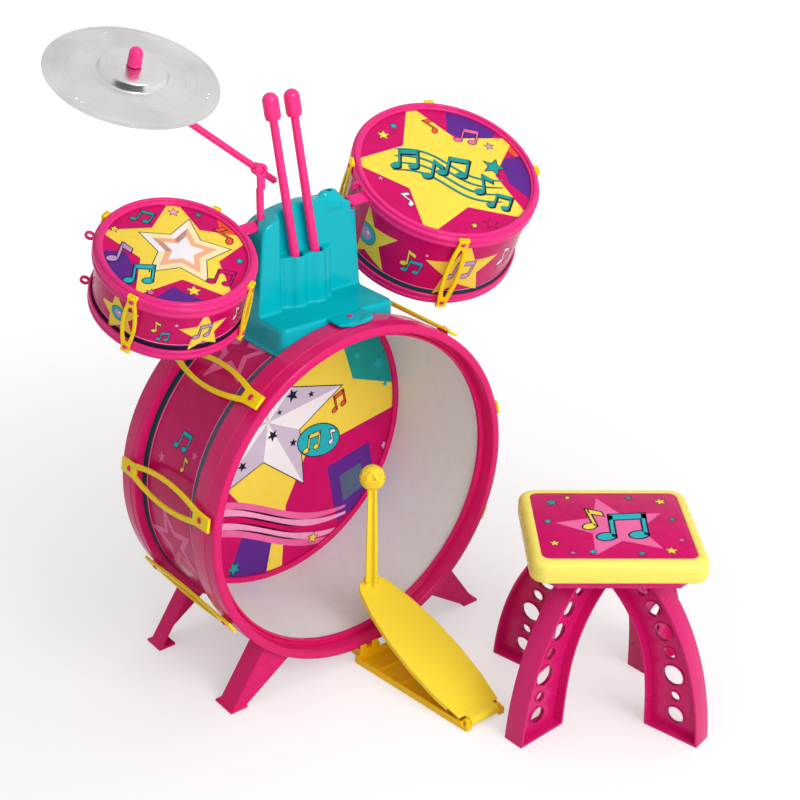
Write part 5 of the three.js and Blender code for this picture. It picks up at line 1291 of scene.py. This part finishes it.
def stoolDesign():
    shapes = stars(((2, -5, 59, 10),), "pink", 1, 0.45)
    shapes += notes(2, 14, -4, 50, -4, "aqua", 3, 2.0) + notes(1, -20, 12, 36, 8, "yellow", 3, 1.8)
    return shapes + edgedStars((
        (-56, 44, 6.4, 10, "teal"), (-62, -36, 5, 0, "yellow"), (-38, 54, 3.4, 0, "yellow"),
        (58, 46, 6, 14, "yellow"), (64, 10, 3.6, 0, "teal"), (52, -50, 6.4, -8, "yellow"),
        (22, -55, 4, 0, "teal"), (-26, -52, 4.4, 12, "aqua"), (-64, 6, 4, 0, "aqua"),
        (26, 54, 4, 20, "teal"), (-46, -54, 3.2, 0, "pink"), (66, -30, 3.6, 6, "pink")), 2, 0.7)


margin = 1  # a wrap's print runs this far under the hoops
viewTurn = -40  # the toms' prints face the player at this turn
for name, place, radius in (
        ("bassHeadPrintNear", bassPlace @ shift(0, 0, headTop), farHoop["lip"]),
        ("bassHeadPrintFar", bassPlace @ shift(0, 0, headTop - headThickness) @ spin(180, "Y"),
         headRadius + fitGap - 1)):
    layPrint(name, bassHeadDesign(), flatPlace(place), roundClip(radius - 0.3), "kit", "printed_head")
for side, design, starAngles, marginInk in (("left", leftHeadDesign, (-163, -97, -30, 38, 106), "navy"),
                                            ("right", rightHeadDesign, (-176, -110, -44, 28, 100),
                                             "darkTeal")):
    tom = toms[side]
    place, radius = tom["place"], tom["shellRadius"]
    layPrint(f"{side}TomHeadPrint", design(), flatPlace(place @ shift(0, 0, tom["headTop"])),
             roundClip(tom["headRadius"] - 0.2), "kit", "printed_head", turn=viewTurn)
    low, high = tomForm["skirt"] - tom["depth"] - margin, margin - tomForm["skirt"]
    layPrint(f"{side}TomWrapPrint", tomWrapDesign(radius, low, high, starAngles, marginInk),
             wrapPlace(place, radius), boxClip(pi * radius, low, high), "kit", "printed_wrap", strip=4)
low, high, radius = farHoop["skirt"] - bass["depth"] - margin, margin - nearHoop["skirt"], bass["shellRadius"]
layPrint("bassWrapPrint", bassWrapDesign(radius, low, high), wrapPlace(bassPlace, radius),
         boxClip(pi * radius, low, high), "kit", "printed_wrap", strip=6)
halfX, halfY = stool["labelWidth"] / 2 - 0.8, stool["labelDepth"] / 2 - 0.8
layPrint("stoolLabelPrint", stoolDesign(), flatPlace(stoolPlace @ shift(0, 0, -0.2)),
         boxClip(halfX, -halfY, halfY), "stool", "label_print")
print("drum kit: prints laid")

room = {  # in metres; the paper's glow rises between two distances from the origin
    "paper": (0.62, 0.6, 0.61), "half": 30, "nearGlow": 0.44, "farGlow": 0.88, "glowFrom": 0.42,
    "glowTo": 2.0, "ambient": 0.45, "cardHalf": 2.2, "cardHeight": 2.0, "cardAway": 2.3,
    "card": (0.09, 0.095, 0.105),
}
white = (1, 1, 1, 1)


def seenRay(w):  # 1 for what the camera sees straight, in metal or through glass
    path = w.add("ShaderNodeLightPath")
    return w.math("MAXIMUM", path.outputs["Is Camera Ray"], w.math(
        "MAXIMUM", path.outputs["Is Glossy Ray"], path.outputs["Is Transmission Ray"]))


def stagePiece(name, outline, z0, z1, place, material):
    bm = working()
    plate(bm, outline, z0, z1, place)
    piece = addObject(name, meshFrom(bm, name))
    piece.data.materials.append(material)
    return piece


def makeFloor():
    half, material = room["half"], newMaterial("paperFloor")
    material.node_tree.nodes.clear()
    w = Wiring(material.node_tree)
    away = w.vector("LENGTH", "Value", i0=w.locate())
    glow = w.ramp(away, room["glowFrom"], room["glowTo"], room["nearGlow"], room["farGlow"])
    paper = w.add("ShaderNodeBsdfDiffuse", Color=(*room["paper"], 1))
    shine = w.add("ShaderNodeEmission", Color=white, Strength=w.times(seenRay(w), glow))
    both = w.add("ShaderNodeAddShader", i0=paper.outputs[0], i1=shine.outputs[0])
    w.add("ShaderNodeOutputMaterial", Surface=both.outputs[0])
    stagePiece("floor", rectangle(-half, -half, half, half), -0.02, 0.0, unmoved, material)


def makeCard():  # the dark side of the studio, which only gloss and metal show
    half, material = room["cardHalf"], newMaterial("blackCard")
    shader = material.node_tree.nodes["Principled BSDF"]
    shader.inputs["Base Color"].default_value = (*room["card"], 1)
    shader.inputs["Roughness"].default_value = 0.9
    card = stagePiece("darkCard", rectangle(-half, 0, half, room["cardHeight"]), 0, 0.01,
                      spin(viewTurn, "Z") @ shift(0, -room["cardAway"], 0) @ upright, material)
    put(card, visible_camera=False, visible_diffuse=False, visible_shadow=False, visible_transmission=False)


def makeWorld():
    world = put(bpy.data.worlds.new("paleRoom"), use_nodes=True)
    bpy.context.scene.world = world
    world.node_tree.nodes.clear()
    w = Wiring(world.node_tree)
    strength = w.plus(room["ambient"], w.times(seenRay(w), 1 - room["ambient"]))
    ground = w.add("ShaderNodeBackground", Color=white, Strength=strength)
    w.add("ShaderNodeOutputWorld", Surface=ground.outputs[0])


makeFloor()
# place and width in metres, watts, and whether gloss and metal show it; the spark is for gloss alone
lamps = {
    "keyLamp": ((0.30, -1.75, 1.35), 1.4, 23.5, False),
    "topLamp": ((0.25, 0.1, 2.3), 1.6, 8.0, False),
    "fillLamp": ((-0.85, -1.75, 0.85), 1.5, 12.5, False),
    "sparkLamp": ((-0.25, -1.9, 2.2), 0.7, 45.0, True),
}
kitMiddle = Vector((0.05, 0.05, 0.28))
for name, (at, size, power, inGloss) in lamps.items():
    light = put(bpy.data.lights.new(name, "AREA"), shape="DISK", size=size, energy=power)
    aim = (kitMiddle - Vector(at)).to_track_quat("-Z", "Y").to_euler()
    put(addObject(name, light), location=at, rotation_euler=aim, visible_glossy=inGloss,
        visible_diffuse=not inGloss)
makeCard()
makeWorld()
bpy.context.scene.view_settings.view_transform = "Standard"

view = {  # degrees, metres from the near hoop's face, and millimetres for the lens
    "azimuth": -39.92, "elevation": 26.14, "roll": 1.07, "distance": 1.6984,
    "target": (0.1268, 0.0998, 0.2410), "lens": 67.437, "sensor": 36,
}
azimuth, elevation, roll = (radians(view[k]) for k in ("azimuth", "elevation", "roll"))
camera = put(bpy.data.cameras.new("kitCamera"), sensor_width=view["sensor"], lens=view["lens"])
back = Vector((sin(azimuth) * cos(elevation), -cos(azimuth) * cos(elevation), sin(elevation)))
right = Vector((cos(azimuth), sin(azimuth), 0))
tilt = Matrix.Rotation(roll, 3, back)
up = back.cross(right)
target = Vector(view["target"]) + Vector((drumX, frontY, 0))
axes = Matrix((tilt @ right, tilt @ up, back)).transposed().to_4x4()
bpy.context.scene.camera = put(addObject("kitCamera", camera),
                               matrix_world=Matrix.Translation(target + back * view["distance"]) @ axes)
print("drum kit: room, lamps and camera set")
